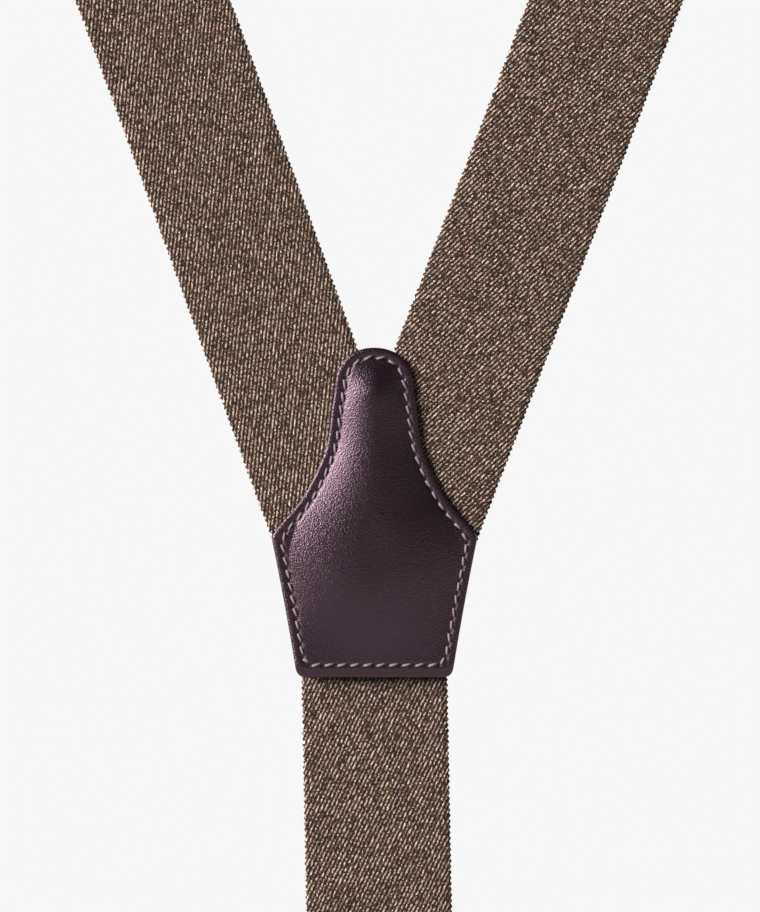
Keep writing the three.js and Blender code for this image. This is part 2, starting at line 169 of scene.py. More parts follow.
@dataclass
class Surface:
    """Points and faces that are gathered part by part and then made one mesh."""

    points: list[Array] = field(default_factory=list)
    faces: list[Array] = field(default_factory=list)
    weave: list[Array] = field(default_factory=list)
    values: dict[str, list[Array]] = field(default_factory=dict)
    size: int = 0

    def add(self, points: Array, faces: list[Array], weave: Array | None = None, **values: Array) -> None:
        """Adds one closed part, with its faces turned to point outwards if its signed volume is negative.

        Args:
            points: Its points, one row each.
            faces: Arrays of triangles or quads that number its points from 0.
            weave: The pattern's place at each point, in metres across and along.
            values: Named numbers for each point, which materials read.
        """
        halves = [array[:, [0, k, k + 1]] for array in faces for k in range(1, array.shape[1] - 1)]
        first, second, third = (points[corner] for corner in np.vstack(halves).T)
        inside_out = np.einsum("ij,ij->", first, np.cross(second, third)) < 0.0
        self.points.append(points)
        self.faces.extend((array[:, ::-1] if inside_out else array) + self.size for array in faces)
        self.weave.append(np.zeros((len(points), 2)) if weave is None else weave)
        for name, numbers in values.items():
            self.values.setdefault(name, []).append(numbers)
        self.size += len(points)

    def add_sleeve(self, rings: Array, hubs: Array, weave: Array | None = None) -> None:
        """Adds one closed part: rings of points, each joined to the next, with each end closed onto a hub.

        Args:
            rings: The points, ring by ring.
            hubs: The point that each end closes onto.
            weave: The pattern's place at each of the rings' points.
        """
        rows, columns = rings.shape[:2]
        count, first = rows * columns, np.arange(columns)
        faces = [grid_faces(rows, columns, wrap=True), end_fan(first, count, turned=True)]
        faces.append(end_fan(first + count - columns, count + 1))
        if weave is not None:
            weave = weave.reshape(-1, 2)
            weave = np.vstack([weave, weave[:1], weave[-1:]])
        self.add(np.vstack([rings.reshape(-1, 3), hubs]), faces, weave)

    def make(self, name: str, material: Material, smooth: bool = True) -> Object:
        """Makes the gathered parts one object at the origin.

        Args:
            name: The piece's name.
            material: Its finish.
            smooth: Whether its faces are shaded smooth.

        Returns:
            The new object, in the scene.
        """
        mesh = bpy.data.meshes.new(name)
        points = np.vstack(self.points)
        mesh.vertices.add(len(points))
        mesh.vertices.foreach_set("co", points.astype(np.float32).ravel())
        corners = np.concatenate([array.ravel() for array in self.faces]).astype(np.int32)
        counts = np.concatenate([np.full(len(array), array.shape[1]) for array in self.faces])
        mesh.loops.add(len(corners))
        mesh.loops.foreach_set("vertex_index", corners)
        mesh.polygons.add(len(counts))
        starts = np.concatenate([[0], np.cumsum(counts)[:-1]])
        mesh.polygons.foreach_set("loop_start", starts.astype(np.int32))
        mesh.polygons.foreach_set("loop_total", counts.astype(np.int32))
        mesh.polygons.foreach_set("use_smooth", np.full(len(counts), smooth))
        mesh.update(calc_edges=True)
        layer = mesh.uv_layers.new(name="weave")
        layer.data.foreach_set("uv", np.vstack(self.weave)[corners].astype(np.float32).ravel())
        for label, numbers in self.values.items():
            attribute = mesh.attributes.new(label, "FLOAT", "POINT")
            attribute.data.foreach_set("value", np.concatenate(numbers).astype(np.float32))
        mesh.validate()
        mesh.materials.append(material)
        return stand(name, mesh)


# Finishes


def shade(colour: Triple, factor: float) -> Triple:
    """A colour darkened or lightened by one factor."""
    return tuple(part * factor for part in colour)


class Shader:
    """A material in the making, with short calls for the nodes that the finishes share."""

    def __init__(self, name: str) -> None:
        """Starts an empty material with one surface shader.

        Args:
            name: The material's name.
        """
        self.material = bpy.data.materials.new(name)
        self.material.use_nodes = True
        self.tree = self.material.node_tree
        self.surface = self.tree.nodes["Principled BSDF"]

    def node(self, kind: str, **settings: object) -> Node:
        """Adds a node and sets its options.

        Args:
            kind: The node's kind, without Blender's prefix.
            settings: Its options by name.

        Returns:
            The node.
        """
        made = self.tree.nodes.new("ShaderNode" + kind)
        for name, value in settings.items():
            setattr(made, name, value)
        return made

    def feed(self, value: object, socket: NodeSocket) -> None:
        """Links an output to a socket, or sets the socket to a plain value.

        Args:
            value: Another node's output, or a plain value.
            socket: The input it is for.
        """
        if isinstance(value, NodeSocket):
            self.tree.links.new(value, socket)
        else:
            socket.default_value = value

    def calc(self, operation: str, *values: object) -> NodeSocket:
        """Adds a Math node.

        Args:
            operation: The node's operation.
            values: Its inputs, as outputs of other nodes or as numbers.

        Returns:
            Its result.
        """
        made = self.node("Math", operation=operation)
        for value, socket in zip(values, made.inputs):
            self.feed(value, socket)
        return made.outputs[0]

    def ramp(self, value: object, *stops: tuple[float, Triple]) -> NodeSocket:
        """Adds a colour ramp.

        Args:
            value: What the ramp reads.
            stops: Places from 0 to 1 with their linear colours.

        Returns:
            The ramp's colour.
        """
        made = self.node("ValToRGB")
        elements = made.color_ramp.elements
        while len(elements) < len(stops):
            elements.new(0.5)
        for element, (place, colour) in zip(elements, stops):
            element.position = place
            element.color = (*colour, 1.0)
        self.feed(value, made.inputs[0])
        return made.outputs[0]

    def mix(self, share: object, first: object, second: object, blend: str = "MIX") -> NodeSocket:
        """Adds a colour Mix node and returns its colour.

        Args:
            share: How much of the second colour shows.
            first: The colour underneath.
            second: The colour laid over it.
            blend: How the two are blended.

        Returns:
            The mixed colour.
        """
        made = self.node("Mix", data_type="RGBA", blend_type=blend)
        for value, socket in zip((share, first, second), (made.inputs[0], made.inputs[6], made.inputs[7])):
            self.feed((*value, 1.0) if isinstance(value, tuple) else value, socket)
        return made.outputs[2]

    def noise(
        self, place: object, scale: float, detail: float, roughness: float = 0.5, part: str = "Fac"
    ) -> NodeSocket:
        """Adds a noise texture.

        Args:
            place: Where it is read.
            scale: Its waves for each metre.
            detail: Its octaves.
            roughness: The share that each octave keeps of the one before.
            part: Which output is wanted, the value or the colour.

        Returns:
            That output.
        """
        made = self.node("TexNoise")
        self.feed(place, made.inputs["Vector"])
        for name, value in (("Scale", scale), ("Detail", detail), ("Roughness", roughness)):
            made.inputs[name].default_value = value
        return made.outputs[part]

    def split(self, vector: object) -> tuple[NodeSocket, NodeSocket]:
        """The first two parts of a vector or colour.

        Args:
            vector: What is split.

        Returns:
            Its first and second parts.
        """
        made = self.node("SeparateXYZ")
        self.feed(vector, made.inputs[0])
        return made.outputs[0], made.outputs[1]

    def weave(self) -> NodeSocket:
        """The place on the piece's own map, in metres across and along."""
        return self.node("UVMap", uv_map="weave").outputs[0]

    def here(self) -> NodeSocket:
        """The place on the piece, in metres."""
        return self.node("TexCoord").outputs["Object"]

    def attribute(self, name: str) -> NodeSocket:
        """A named number that the mesh carries at each point."""
        return self.node("Attribute", attribute_name=name).outputs["Fac"]

    def bump(self, height: object, distance: float, strength: float = 1.0) -> NodeSocket:
        """Adds a bump whose full height is a distance in metres, and returns its normal.

        Args:
            height: The height, where 1 is the full distance.
            distance: The full height, in metres.
            strength: How much of the bump shows.

        Returns:
            The bumped normal.
        """
        made = self.node("Bump")
        made.inputs["Strength"].default_value = strength
        made.inputs["Distance"].default_value = distance
        self.feed(height, made.inputs["Height"])
        return made.outputs[0]

    def finish(self, **sockets: object) -> Material:
        """Sets the surface shader's sockets, with _ for their names' spaces, and returns the material.

        Args:
            sockets: Outputs or plain values by socket name.

        Returns:
            The finished material.
        """
        for name, value in sockets.items():
            socket = self.surface.inputs[name.replace("_", " ")]
            self.feed((*value, 1.0) if isinstance(value, tuple) else value, socket)
        return self.material


@dataclass(frozen=True)
class TwillFinish:
    """Heathered two-and-one twill: floats of light and dark melange yarn that climb to the right.

    Each warp end shows a float over two picks and dips under the third. Its neighbour's float starts one pick
    higher, so the floats line up in steep ridges, two picks up for each end across. Short grains of single
    yarns lie along the ridges, and every fourth end stands a little higher.
    """

    end_pitch: float = 0.33 * MM
    pick_pitch: float = 0.66 * MM
    ridge_share: float = 0.74
    grain_width: float = 0.31 * MM
    grain_length: float = 0.44 * MM
    waver: float = 0.22 * MM
    waver_scale: float = 1500.0
    fibre_scale: float = 3400.0
    cast_scale: float = 480.0
    cloud_scale: float = 190.0
    cloud: tuple[float, float] = (0.94, 1.05)
    relief: float = 0.14 * MM
    # Painted shade: the near-black colour at the bottom of the troughs between the ridges.
    shadow: Triple = (0.007, 0.0030, 0.0014)
    dark_yarn: Triple = (0.042, 0.022, 0.013)
    mid_yarn: Triple = (0.190, 0.122, 0.088)
    light_yarn: Triple = (0.58, 0.42, 0.33)
    palest_yarn: Triple = (0.92, 0.78, 0.67)

    def material(self) -> Material:
        """Makes the webbing's material, which reads the weave map in metres.

        Returns:
            The material.
        """
        ink = Shader("webbing")
        place = ink.weave()
        across, along = ink.split(place)
        aside, ahead = ink.split(ink.noise(place, self.waver_scale, 2.0, part="Color"))
        across = ink.calc("MULTIPLY_ADD", ink.calc("SUBTRACT", aside, 0.5), self.waver, across)
        along = ink.calc("MULTIPLY_ADD", ink.calc("SUBTRACT", ahead, 0.5), 2 * self.waver, along)
        climb = ink.calc("SUBTRACT", along, ink.calc("MULTIPLY", across, self.pick_pitch / self.end_pitch))
        lightness = self.lightness(ink, place, across, along, climb)
        # The colour ramp reads the same swell as the bump. The dark weft yarn between floats is real, but the
        # darkening of the troughs and lower ends towards the near-black shadow colour is painted shade.
        swell = ink.calc("MULTIPLY", ink.calc("MULTIPLY_ADD", self.ridge(ink, climb), 0.8, 0.2), lightness)
        yarns = (self.shadow, self.dark_yarn, self.mid_yarn, self.light_yarn, self.palest_yarn)
        colour = ink.ramp(swell, *zip((0.0, 0.24, 0.48, 0.74, 1.0), yarns))
        cast = ink.noise(place, self.cast_scale, 1.0, part="Color")
        colour = ink.mix(0.8, colour, self.tinted(ink, cast), "MULTIPLY")
        dull, bright = ((level,) * 3 for level in self.cloud)
        cloud = ink.ramp(ink.noise(place, self.cloud_scale, 2.0, 0.6), (0.3, dull), (0.7, bright))
        return ink.finish(
            Base_Color=ink.mix(1.0, colour, cloud, "MULTIPLY"),
            Normal=ink.bump(swell, self.relief),
            Roughness=0.82,
            Sheen_Weight=0.06,
            Sheen_Roughness=0.5,
            Specular_IOR_Level=0.2,
        )

    def ridge(self, ink: Shader, climb: NodeSocket) -> NodeSocket:
        """How far each place stands up on its ridge: half a sine wave over the ridge's share of its pitch.

        Args:
            ink: The material in the making.
            climb: How far the place lies above the ridge line through the map's origin.

        Returns:
            The height, from 0 to 1.
        """
        turns = ink.calc("DIVIDE", climb, 3 * self.pick_pitch)
        inside = ink.calc("DIVIDE", ink.calc("FRACT", turns), self.ridge_share)
        wave = ink.calc("SINE", ink.calc("MULTIPLY", ink.calc("MINIMUM", inside, 1.0), math.pi))
        return ink.calc("POWER", wave, 0.8)

    def lightness(
        self, ink: Shader, place: NodeSocket, across: NodeSocket, along: NodeSocket, climb: NodeSocket
    ) -> NodeSocket:
        """Each place's yarn, from dark to pale: a random draw for each short grain, blurred by single fibres.

        Args:
            ink: The material in the making.
            place: The place on the map.
            across: The wavering place across the webbing.
            along: The wavering place along it.
            climb: How far the place lies above the ridge line through the map's origin.

        Returns:
            The lightness, from about 0 to 1.2.
        """
        slope = self.pick_pitch / self.end_pitch
        size = math.hypot(1.0, slope)
        upward, sideways = ink.calc("MULTIPLY", along, slope / size), ink.calc("MULTIPLY", across, 1.0 / size)
        lengthwise = ink.calc("ADD", upward, sideways)
        row = ink.calc("FLOOR", ink.calc("DIVIDE", climb, self.grain_width * size))
        stagger = ink.calc("MULTIPLY", row, 0.37)
        cell = ink.node("CombineXYZ")
        ink.feed(row, cell.inputs[0])
        step = ink.calc("MULTIPLY_ADD", lengthwise, 1.0 / self.grain_length, stagger)
        ink.feed(ink.calc("FLOOR", step), cell.inputs[1])
        chance = ink.node("TexWhiteNoise", noise_dimensions="2D")
        ink.feed(cell.outputs[0], chance.inputs["Vector"])
        grain = ink.calc("MULTIPLY_ADD", chance.outputs["Value"], 0.8, 0.1)
        fibre = ink.calc("SUBTRACT", ink.noise(place, self.fibre_scale, 2.0, 0.6), 0.5)
        draw = ink.calc("MAXIMUM", ink.calc("MULTIPLY_ADD", fibre, 1.9, grain), 0.0)
        tone = ink.calc("MULTIPLY_ADD", ink.calc("MINIMUM", draw, 1.15), 0.98, 0.06)
        fourth = ink.calc("COSINE", ink.calc("MULTIPLY", across, 2 * math.pi / (4 * self.end_pitch)))
        return ink.calc("MULTIPLY", tone, ink.calc("MULTIPLY_ADD", fourth, 0.13, 1.0))

    def tinted(self, ink: Shader, cast: NodeSocket) -> NodeSocket:
        """A colour near white that leans to red, olive or grey with the noise colour it is given.

        Args:
            ink: The material in the making.
            cast: The noise colour.

        Returns:
            The near-white colour.
        """
        parts = ink.node("VectorMath", operation="MULTIPLY_ADD")
        ink.feed(cast, parts.inputs[0])
        parts.inputs[1].default_value = (0.5, 0.38, 0.5)
        parts.inputs[2].default_value = (0.76, 0.81, 0.75)
        return parts.outputs[0]


@dataclass(frozen=True)
class HideFinish:
    """Dyed calf with a fine pebble grain, darker and glossier where its cut edge is painted, and with painted
    shade in its needle holes.
    """

    name: str
    colour: Triple
    edge: Triple
    roughness: float = 0.27
    grain: float = 0.14 * MM
    pebble_scale: float = 2600.0
    # Painted shade: the near-black colour laid into the needle holes.
    hole_shade_colour: Triple = (0.004, 0.002, 0.003)
    shine: float = 0.7
    shine_tint: Triple = (1.0, 0.66, 0.80)

    def material(self) -> Material:
        """Makes the hide's material from the place on the piece, the mesh's edge numbers and its painted hole
        shade numbers.

        Returns:
            The material.
        """
        ink = Shader(self.name)
        place = ink.here()
        cells = ink.node("TexVoronoi", feature="SMOOTH_F1")
        ink.feed(place, cells.inputs["Vector"])
        cells.inputs["Scale"].default_value = self.pebble_scale
        cells.inputs["Smoothness"].default_value = 0.6
        fine = ink.noise(place, 2 * self.pebble_scale, 2.0, 0.6)
        broad = ink.noise(place, 210.0, 3.0, 0.55)
        pebble = ink.calc("ADD", cells.outputs["Distance"], ink.calc("MULTIPLY", fine, 0.6))
        tone = ink.mix(broad, shade(self.colour, 0.82), shade(self.colour, 1.2))
        tone = ink.mix(ink.attribute("edge"), tone, self.edge)
        # Painted shade: the needle holes are mixed towards the near-black hole colour, and the next lines make
        # them rough.
        tone = ink.mix(ink.attribute("pit"), tone, self.hole_shade_colour)
        normal = ink.bump(pebble, self.grain, 0.6)
        gloss = ink.calc("ADD", ink.calc("MULTIPLY", fine, 0.12), self.roughness - 0.06)
        gloss = ink.calc("MAXIMUM", gloss, ink.attribute("pit"))
        return ink.finish(
            Base_Color=tone,
            Normal=normal,
            Roughness=gloss,
            Specular_IOR_Level=self.shine,
            Specular_Tint=self.shine_tint,
        )


@dataclass(frozen=True)
class ThreadFinish:
    """Waxed two-ply thread, with the twist drawn across it as bumps and as painted shade in the grooves
    between the plies.
    """

    name: str
    colour: Triple

    def material(self) -> Material:
        """Makes the thread's material.

        Returns:
            The material.
        """
        ink = Shader(self.name)
        place = ink.weave()
        turn = ink.node("Mapping")
        turn.inputs["Rotation"].default_value = (0.0, 0.0, math.radians(38))
        ink.feed(place, turn.inputs[0])
        wave = ink.node("TexWave", wave_type="BANDS", bands_direction="X")
        ink.feed(turn.outputs[0], wave.inputs["Vector"])
        wave.inputs["Scale"].default_value = 900.0
        wave.inputs["Distortion"].default_value = 0.6
        # Painted shade: the twist's grooves are painted down to about a third of the thread's colour where the
        # bump dips.
        tone = ink.mix(wave.outputs["Fac"], shade(self.colour, 0.35), self.colour)
        normal = ink.bump(wave.outputs["Fac"], 0.06 * MM)
        return ink.finish(Base_Color=tone, Normal=normal, Roughness=0.55, Sheen_Weight=0.2)


@dataclass(frozen=True)
class FeltFinish:
    """The filler under the yoke's crown: pressed felt."""

    colour: Triple = (0.48, 0.42, 0.35)

    def material(self) -> Material:
        """Makes the felt's material.

        Returns:
            The material.
        """
        ink = Shader("filler_felt")
        fibre = ink.noise(ink.here(), 3000.0, 4.0, 0.7)
        tone = ink.mix(fibre, shade(self.colour, 0.6), self.colour)
        return ink.finish(Base_Color=tone, Normal=ink.bump(fibre, 0.1 * MM), Roughness=0.95, Sheen_Weight=0.4)


# Webbing


@dataclass
class StrapPath:
    """A line that webbing follows, as finely spaced stations that are read at any length along it."""

    centre: Array
    across: Array

    def __post_init__(self) -> None:
        """Measures the line. Its outward direction is the cross product of across and along."""
        along = np.gradient(self.centre, axis=0)
        outward = np.cross(self.across, along)
        self.outward = outward / np.linalg.norm(outward, axis=1, keepdims=True)
        self.length = lengths_along(self.centre)

    def at(self, length: Array) -> tuple[Array, Array, Array]:
        """The centre, across direction and outward direction at given lengths, straight between stations."""
        lines = (self.centre, self.across, self.outward)
        return tuple(read_line(length, self.length, line) for line in lines)


@dataclass
class Webbing:
    """Flat woven webbing with rounded, lightly scalloped selvedges."""

    width: float = 35.0 * MM
    thickness: float = 1.6 * MM
    row_step: float = 0.34 * MM
    scallop_pitch: float = 1.36 * MM
    scallop_depth: float = 0.20 * MM
    section_points: int = 30
    cut_fade: float = 90.0 * MM

    def section(self) -> tuple[Array, Array]:
        """The cross-section, a flat oval: the sixth and the fourth root of a circle's cosine and sine.

        Returns:
            Its places across and outward, each from -1 to 1, in order round the section.
        """
        angle = 2 * math.pi * np.arange(self.section_points) / self.section_points
        cosine, sine = np.cos(angle), np.sin(angle)
        return np.sign(cosine) * np.abs(cosine) ** (1 / 6), np.sign(sine) * np.abs(sine) ** (1 / 4)

    def sweep(
        self, path: StrapPath, start: float, end: float, cut: Callable[[Array], Array] | None = None
    ) -> Surface:
        """Carries the cross-section along a path.

        Each selvedge stands half the width out, plus a small cosine of the length that slower waves make
        uneven. The two edges' waves are half a pitch apart.

        Args:
            path: The line to follow.
            start: The length where the webbing starts.
            end: The length where it ends.
            cut: Gives, for places across in metres, the length at which a shaped start is cut.

        Returns:
            The closed surface.
        """
        across, outward = self.section()
        rows = max(int(round((end - start) / self.row_step)), 4)
        share = np.arange(rows + 1)[:, None] / rows
        length = np.repeat(start + (end - start) * share, len(across), axis=1)
        if cut is not None:
            fade = 1.0 - np.clip((length - start) / self.cut_fade, 0.0, 1.0)
            length = length + (cut(across * self.width / 2) - start) * fade
        centre, side, out = path.at(length)
        phase = 2 * math.pi * length / self.scallop_pitch + np.where(across > 0, 0.0, math.pi)
        uneven = 0.35 * np.sin(phase * 0.31 + 1.3) * np.cos(phase * 0.173)
        edge = np.abs(across) ** 8
        reach = across * (self.width / 2 - self.scallop_depth * (0.4 - np.cos(phase) - uneven) * edge)
        rings = centre + side * reach[..., None] + out * (outward * self.thickness / 2)[:, None]
        made = Surface()
        made.add_sleeve(rings, rings[[0, -1]].mean(axis=1), np.stack([reach, length], axis=-1))
        return made


# Straps


def half_turn() -> Array:
    """The evenly spaced angles of a half turn, from 0 to pi."""
    return np.arange(BEND_STEPS + 1) / BEND_STEPS * math.pi


@dataclass
class FrontStrap:
    """One long strap: from under the yoke over the shoulder, down the front and round a clip's bar."""

    side: Side
    webbing: Webbing
    lean: float = math.radians(20.5)
    depth: float = 220.0 * MM
    crossing: float = -335.0 * MM
    low_end: float = -348.0 * MM
    bar_height: float = BAR_HEIGHT
    loop_radius: float = LOOP_RADIUS
    loop_leg: float = LOOP_LEG
    turn_steps: int = 400
    spare: float = 12.0 * MM
    sway: float = 1.15 * MM
    sway_heights: Triple = (-0.19, -0.13, -0.05)
    front_edge: float = -0.045
    rise_steps: int = 60
    fall_steps: int = 120
    gap: float = 0.15 * MM

    def shoulder(self) -> tuple[Array, Array]:
        """The turn over the shoulder: its heading goes half round, eased by a sine, and its lean fades.

        Returns:
            The stations' centres and across directions.
        """
        sign = self.side.value

        def directions(t: Array) -> tuple[Array, Array]:
            """The along and across directions at shares of the turn.

            Args:
                t: Shares of the turn, from 0 to 1.

            Returns:
                The two directions at each share.
            """
            heading = math.pi * t - np.sin(2 * math.pi * t) / 2
            lean = self.lean * (1.0 - smoothstep(t, 0.3, 0.7))
            sine, cosine, level = np.sin(lean), np.cos(lean), np.zeros_like(t)
            up = np.stack([sign * sine, level, cosine], axis=-1)
            along = up * np.cos(heading)[:, None] + np.array([0.0, 1.0, 0.0]) * np.sin(heading)[:, None]
            return along, np.stack([cosine, level, -sign * sine], axis=-1)

        middles = (np.arange(self.turn_steps) + 0.5) / self.turn_steps
        along, _ = directions(middles)
        steps = along * self.depth / along[:, 1].sum()
        turn = np.vstack([np.zeros(3), np.cumsum(steps, axis=0)])
        start_height = -turn[:, 2].max()
        across = sign * (start_height - self.crossing) * math.tan(self.lean)
        start = np.array([across, -self.depth / 2, start_height])
        return turn + start, directions(np.arange(self.turn_steps + 1) / self.turn_steps)[1]

    def path(self) -> StrapPath:
        """The whole line, with the slight sideways drift of hanging webbing on the back.

        Returns:
            The strap's line.
        """
        turn, across = self.shoulder()
        sign = self.side.value
        low = self.low_end - self.spare
        foot = np.array([sign * (low - self.crossing) * math.tan(self.lean), -self.depth / 2, low])
        rise = foot + (turn[0] - foot) * (np.arange(self.rise_steps) / self.rise_steps)[:, None]
        front = turn[-1, :1]
        share = np.arange(1, self.fall_steps + 1)[:, None] / self.fall_steps
        drop = share * (self.bar_height - turn[-1, 2])
        fall = turn[-1] + drop * np.array([0.0, 0.0, 1.0])
        angle = half_turn()[1:]
        bar = np.array([front[0], self.depth / 2 - self.loop_radius, self.bar_height])
        level = np.zeros_like(angle)
        bend = bar + self.loop_radius * np.stack([level, np.cos(angle), -np.sin(angle)], axis=-1)
        leg = bend[-1] + np.array([[0.0, 0.0, 0.5], [0.0, 0.0, 1.0]]) * self.loop_leg
        centre = np.vstack([rise, turn, fall, bend, leg])
        before, after = len(rise), len(centre) - len(rise) - len(turn)
        across = np.vstack([np.tile(across[0], (before, 1)), across, np.tile(across[-1], (after, 1))])
        behind = centre[:, 1] < self.front_edge
        height = centre[:, 2]
        full, fading, gone = self.sway_heights
        drift = smoothstep(height, self.crossing, full) * (1.0 - smoothstep(height, fading, gone))
        centre[:, 0] += self.sway * drift * behind
        return StrapPath(centre, across)

    def start_cut(self, across: Array) -> Array:
        """Where the strap starts: level at its low end, and mitred where it meets the other strap.

        Args:
            across: Places across the strap, in metres.

        Returns:
            The length along the strap at which it is cut at each place.
        """
        sign = self.side.value
        lead = self.spare / math.cos(self.lean)
        level = lead + sign * across * math.tan(self.lean)
        reach = lead - (self.low_end - self.crossing) / math.cos(self.lean)
        mitre = reach + (self.gap - sign * across * math.cos(self.lean)) / math.sin(self.lean)
        return np.maximum(level, mitre)

    def build(self, material: Material) -> Object:
        """Makes the strap.

        Args:
            material: The webbing's material.

        Returns:
            The strap.
        """
        path = self.path()
        half = self.webbing.width / 2
        start = float(self.start_cut(np.linspace(-half, half, 9)).min())
        name = self.side.name.lower()
        surface = self.webbing.sweep(path, start, float(path.length[-1]), self.start_cut)
        piece = surface.make(name + "_strap", material)
        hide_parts(name + "_shoulder_strap", name + "_front_run", name + "_clip_loop")
        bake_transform(piece)
        return piece


@dataclass
class ReturnStrap:
    """A front strap's free end: from the clip's bar up behind the strap, over the crossbar and sewn down."""

    side: Side
    webbing: Webbing
    front: float = FRONT_ACROSS
    bar_height: float = BAR_HEIGHT
    bar_depth: float = 107.35 * MM
    adjuster_height: float = -370.0 * MM
    crossbar: tuple[float, float] = (-5.0 * MM, -6.0 * MM)
    fold_radius: float = 2.35 * MM
    tail_end: float = -34.0 * MM

    def path(self) -> StrapPath:
        """The free end's line, from just above the clip's bar to the tail's end.

        Returns:
            The free end's line.
        """
        bar_out, bar_up = self.crossbar
        run, tail = bar_out + self.fold_radius, bar_out + self.fold_radius - self.webbing.thickness - 0.3 * MM
        angle = half_turn()
        turn = np.stack([np.cos(angle), np.sin(angle)], axis=-1)
        over = np.array([bar_out, bar_up]) + self.fold_radius * turn
        rise = np.linspace(self.bar_height + LOOP_LEG - self.adjuster_height, bar_up, 60)[:-1]
        up = np.stack([np.full_like(rise, run), rise], axis=-1)
        knots = MM * np.array([[0.0, -2.0], [0.9, -5.0], [2.25, -8.5], [2.8, -12.0], [2.8, -16.0]])
        fold = smooth_line(np.vstack([over[-1:], knots + (bar_out - self.fold_radius, bar_up)]), 8)[1:]
        end = np.array([[tail, self.tail_end]])
        line = np.vstack([up, over, fold, end])
        where = np.stack(
            [
                np.full(len(line), self.side.value * self.front),
                self.bar_depth + line[:, 0],
                self.adjuster_height + line[:, 1],
            ],
            axis=-1,
        )
        return StrapPath(where, np.tile([1.0, 0.0, 0.0], (len(where), 1)))

    def build(self, material: Material) -> Object:
        """Makes the free end.

        Args:
            material: The webbing's material.

        Returns:
            The free end.
        """
        path = self.path()
        name = self.side.name.lower()
        piece = self.webbing.sweep(path, 0.0, float(path.length[-1])).make(name + "_return", material)
        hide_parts(name + "_return_run", name + "_return_fold")
        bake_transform(piece)
        return piece


@dataclass
class BackStrap:
    """The single strap down the back, folded round its bar, with its tail laid flat and sewn."""

    webbing: Webbing
    depth: float = -108.1 * MM
    top: float = -326.1 * MM
    bar_height: float = BAR_HEIGHT
    loop_radius: float = LOOP_RADIUS
    tail_gap: float = 0.75 * MM
    drift: float = 1.1 * MM
    drift_heights: Triple = (-0.446, -0.408, -0.352)

    def path(self) -> StrapPath:
        """The back strap's line from its sewn-in top, heading down, to its tail's end.

        Returns:
            The back strap's line.
        """
        rise = np.linspace(self.top, self.bar_height, 120)[:-1] - self.bar_height
        angle = half_turn()
        bend = self.loop_radius * np.stack([np.cos(angle), -np.sin(angle)], axis=-1)
        radius, tail = self.loop_radius, self.tail_gap
        knots = np.array([[-radius, 0.0], [-radius, 2 * MM], [-radius * 0.6, 5 * MM], [tail * 0.4, 8 * MM]])
        fold = smooth_line(np.vstack([knots, [[tail, 11 * MM], [tail, 31 * MM]]]), 8)[1:]
        line = np.vstack([np.stack([np.full_like(rise, radius), rise], axis=-1), bend, fold])
        centre = np.stack(
            [np.zeros(len(line)), self.depth + radius - line[:, 0], self.bar_height + line[:, 1]], axis=-1
        )
        lean = np.interp(centre[:, 2], self.drift_heights, [0.1 * MM, self.drift, 0.0])
        centre[:, 0] += lean * (1.0 - smoothstep(-line[:, 0], -self.loop_radius, 0.0))
        return StrapPath(centre, np.tile([-1.0, 0.0, 0.0], (len(centre), 1)))

    def build(self, material: Material) -> Object:
        """Makes the back strap.

        Args:
            material: The webbing's material.

        Returns:
            The back strap.
        """
        path = self.path()
        surface = self.webbing.sweep(path, 0.0, float(path.length[-1]))
        surface.weave = [-weave for weave in surface.weave]
        piece = surface.make("back_strap", material)
        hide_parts("back_strap_run", "back_strap_fold")
        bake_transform(piece)
        return piece


# Yoke


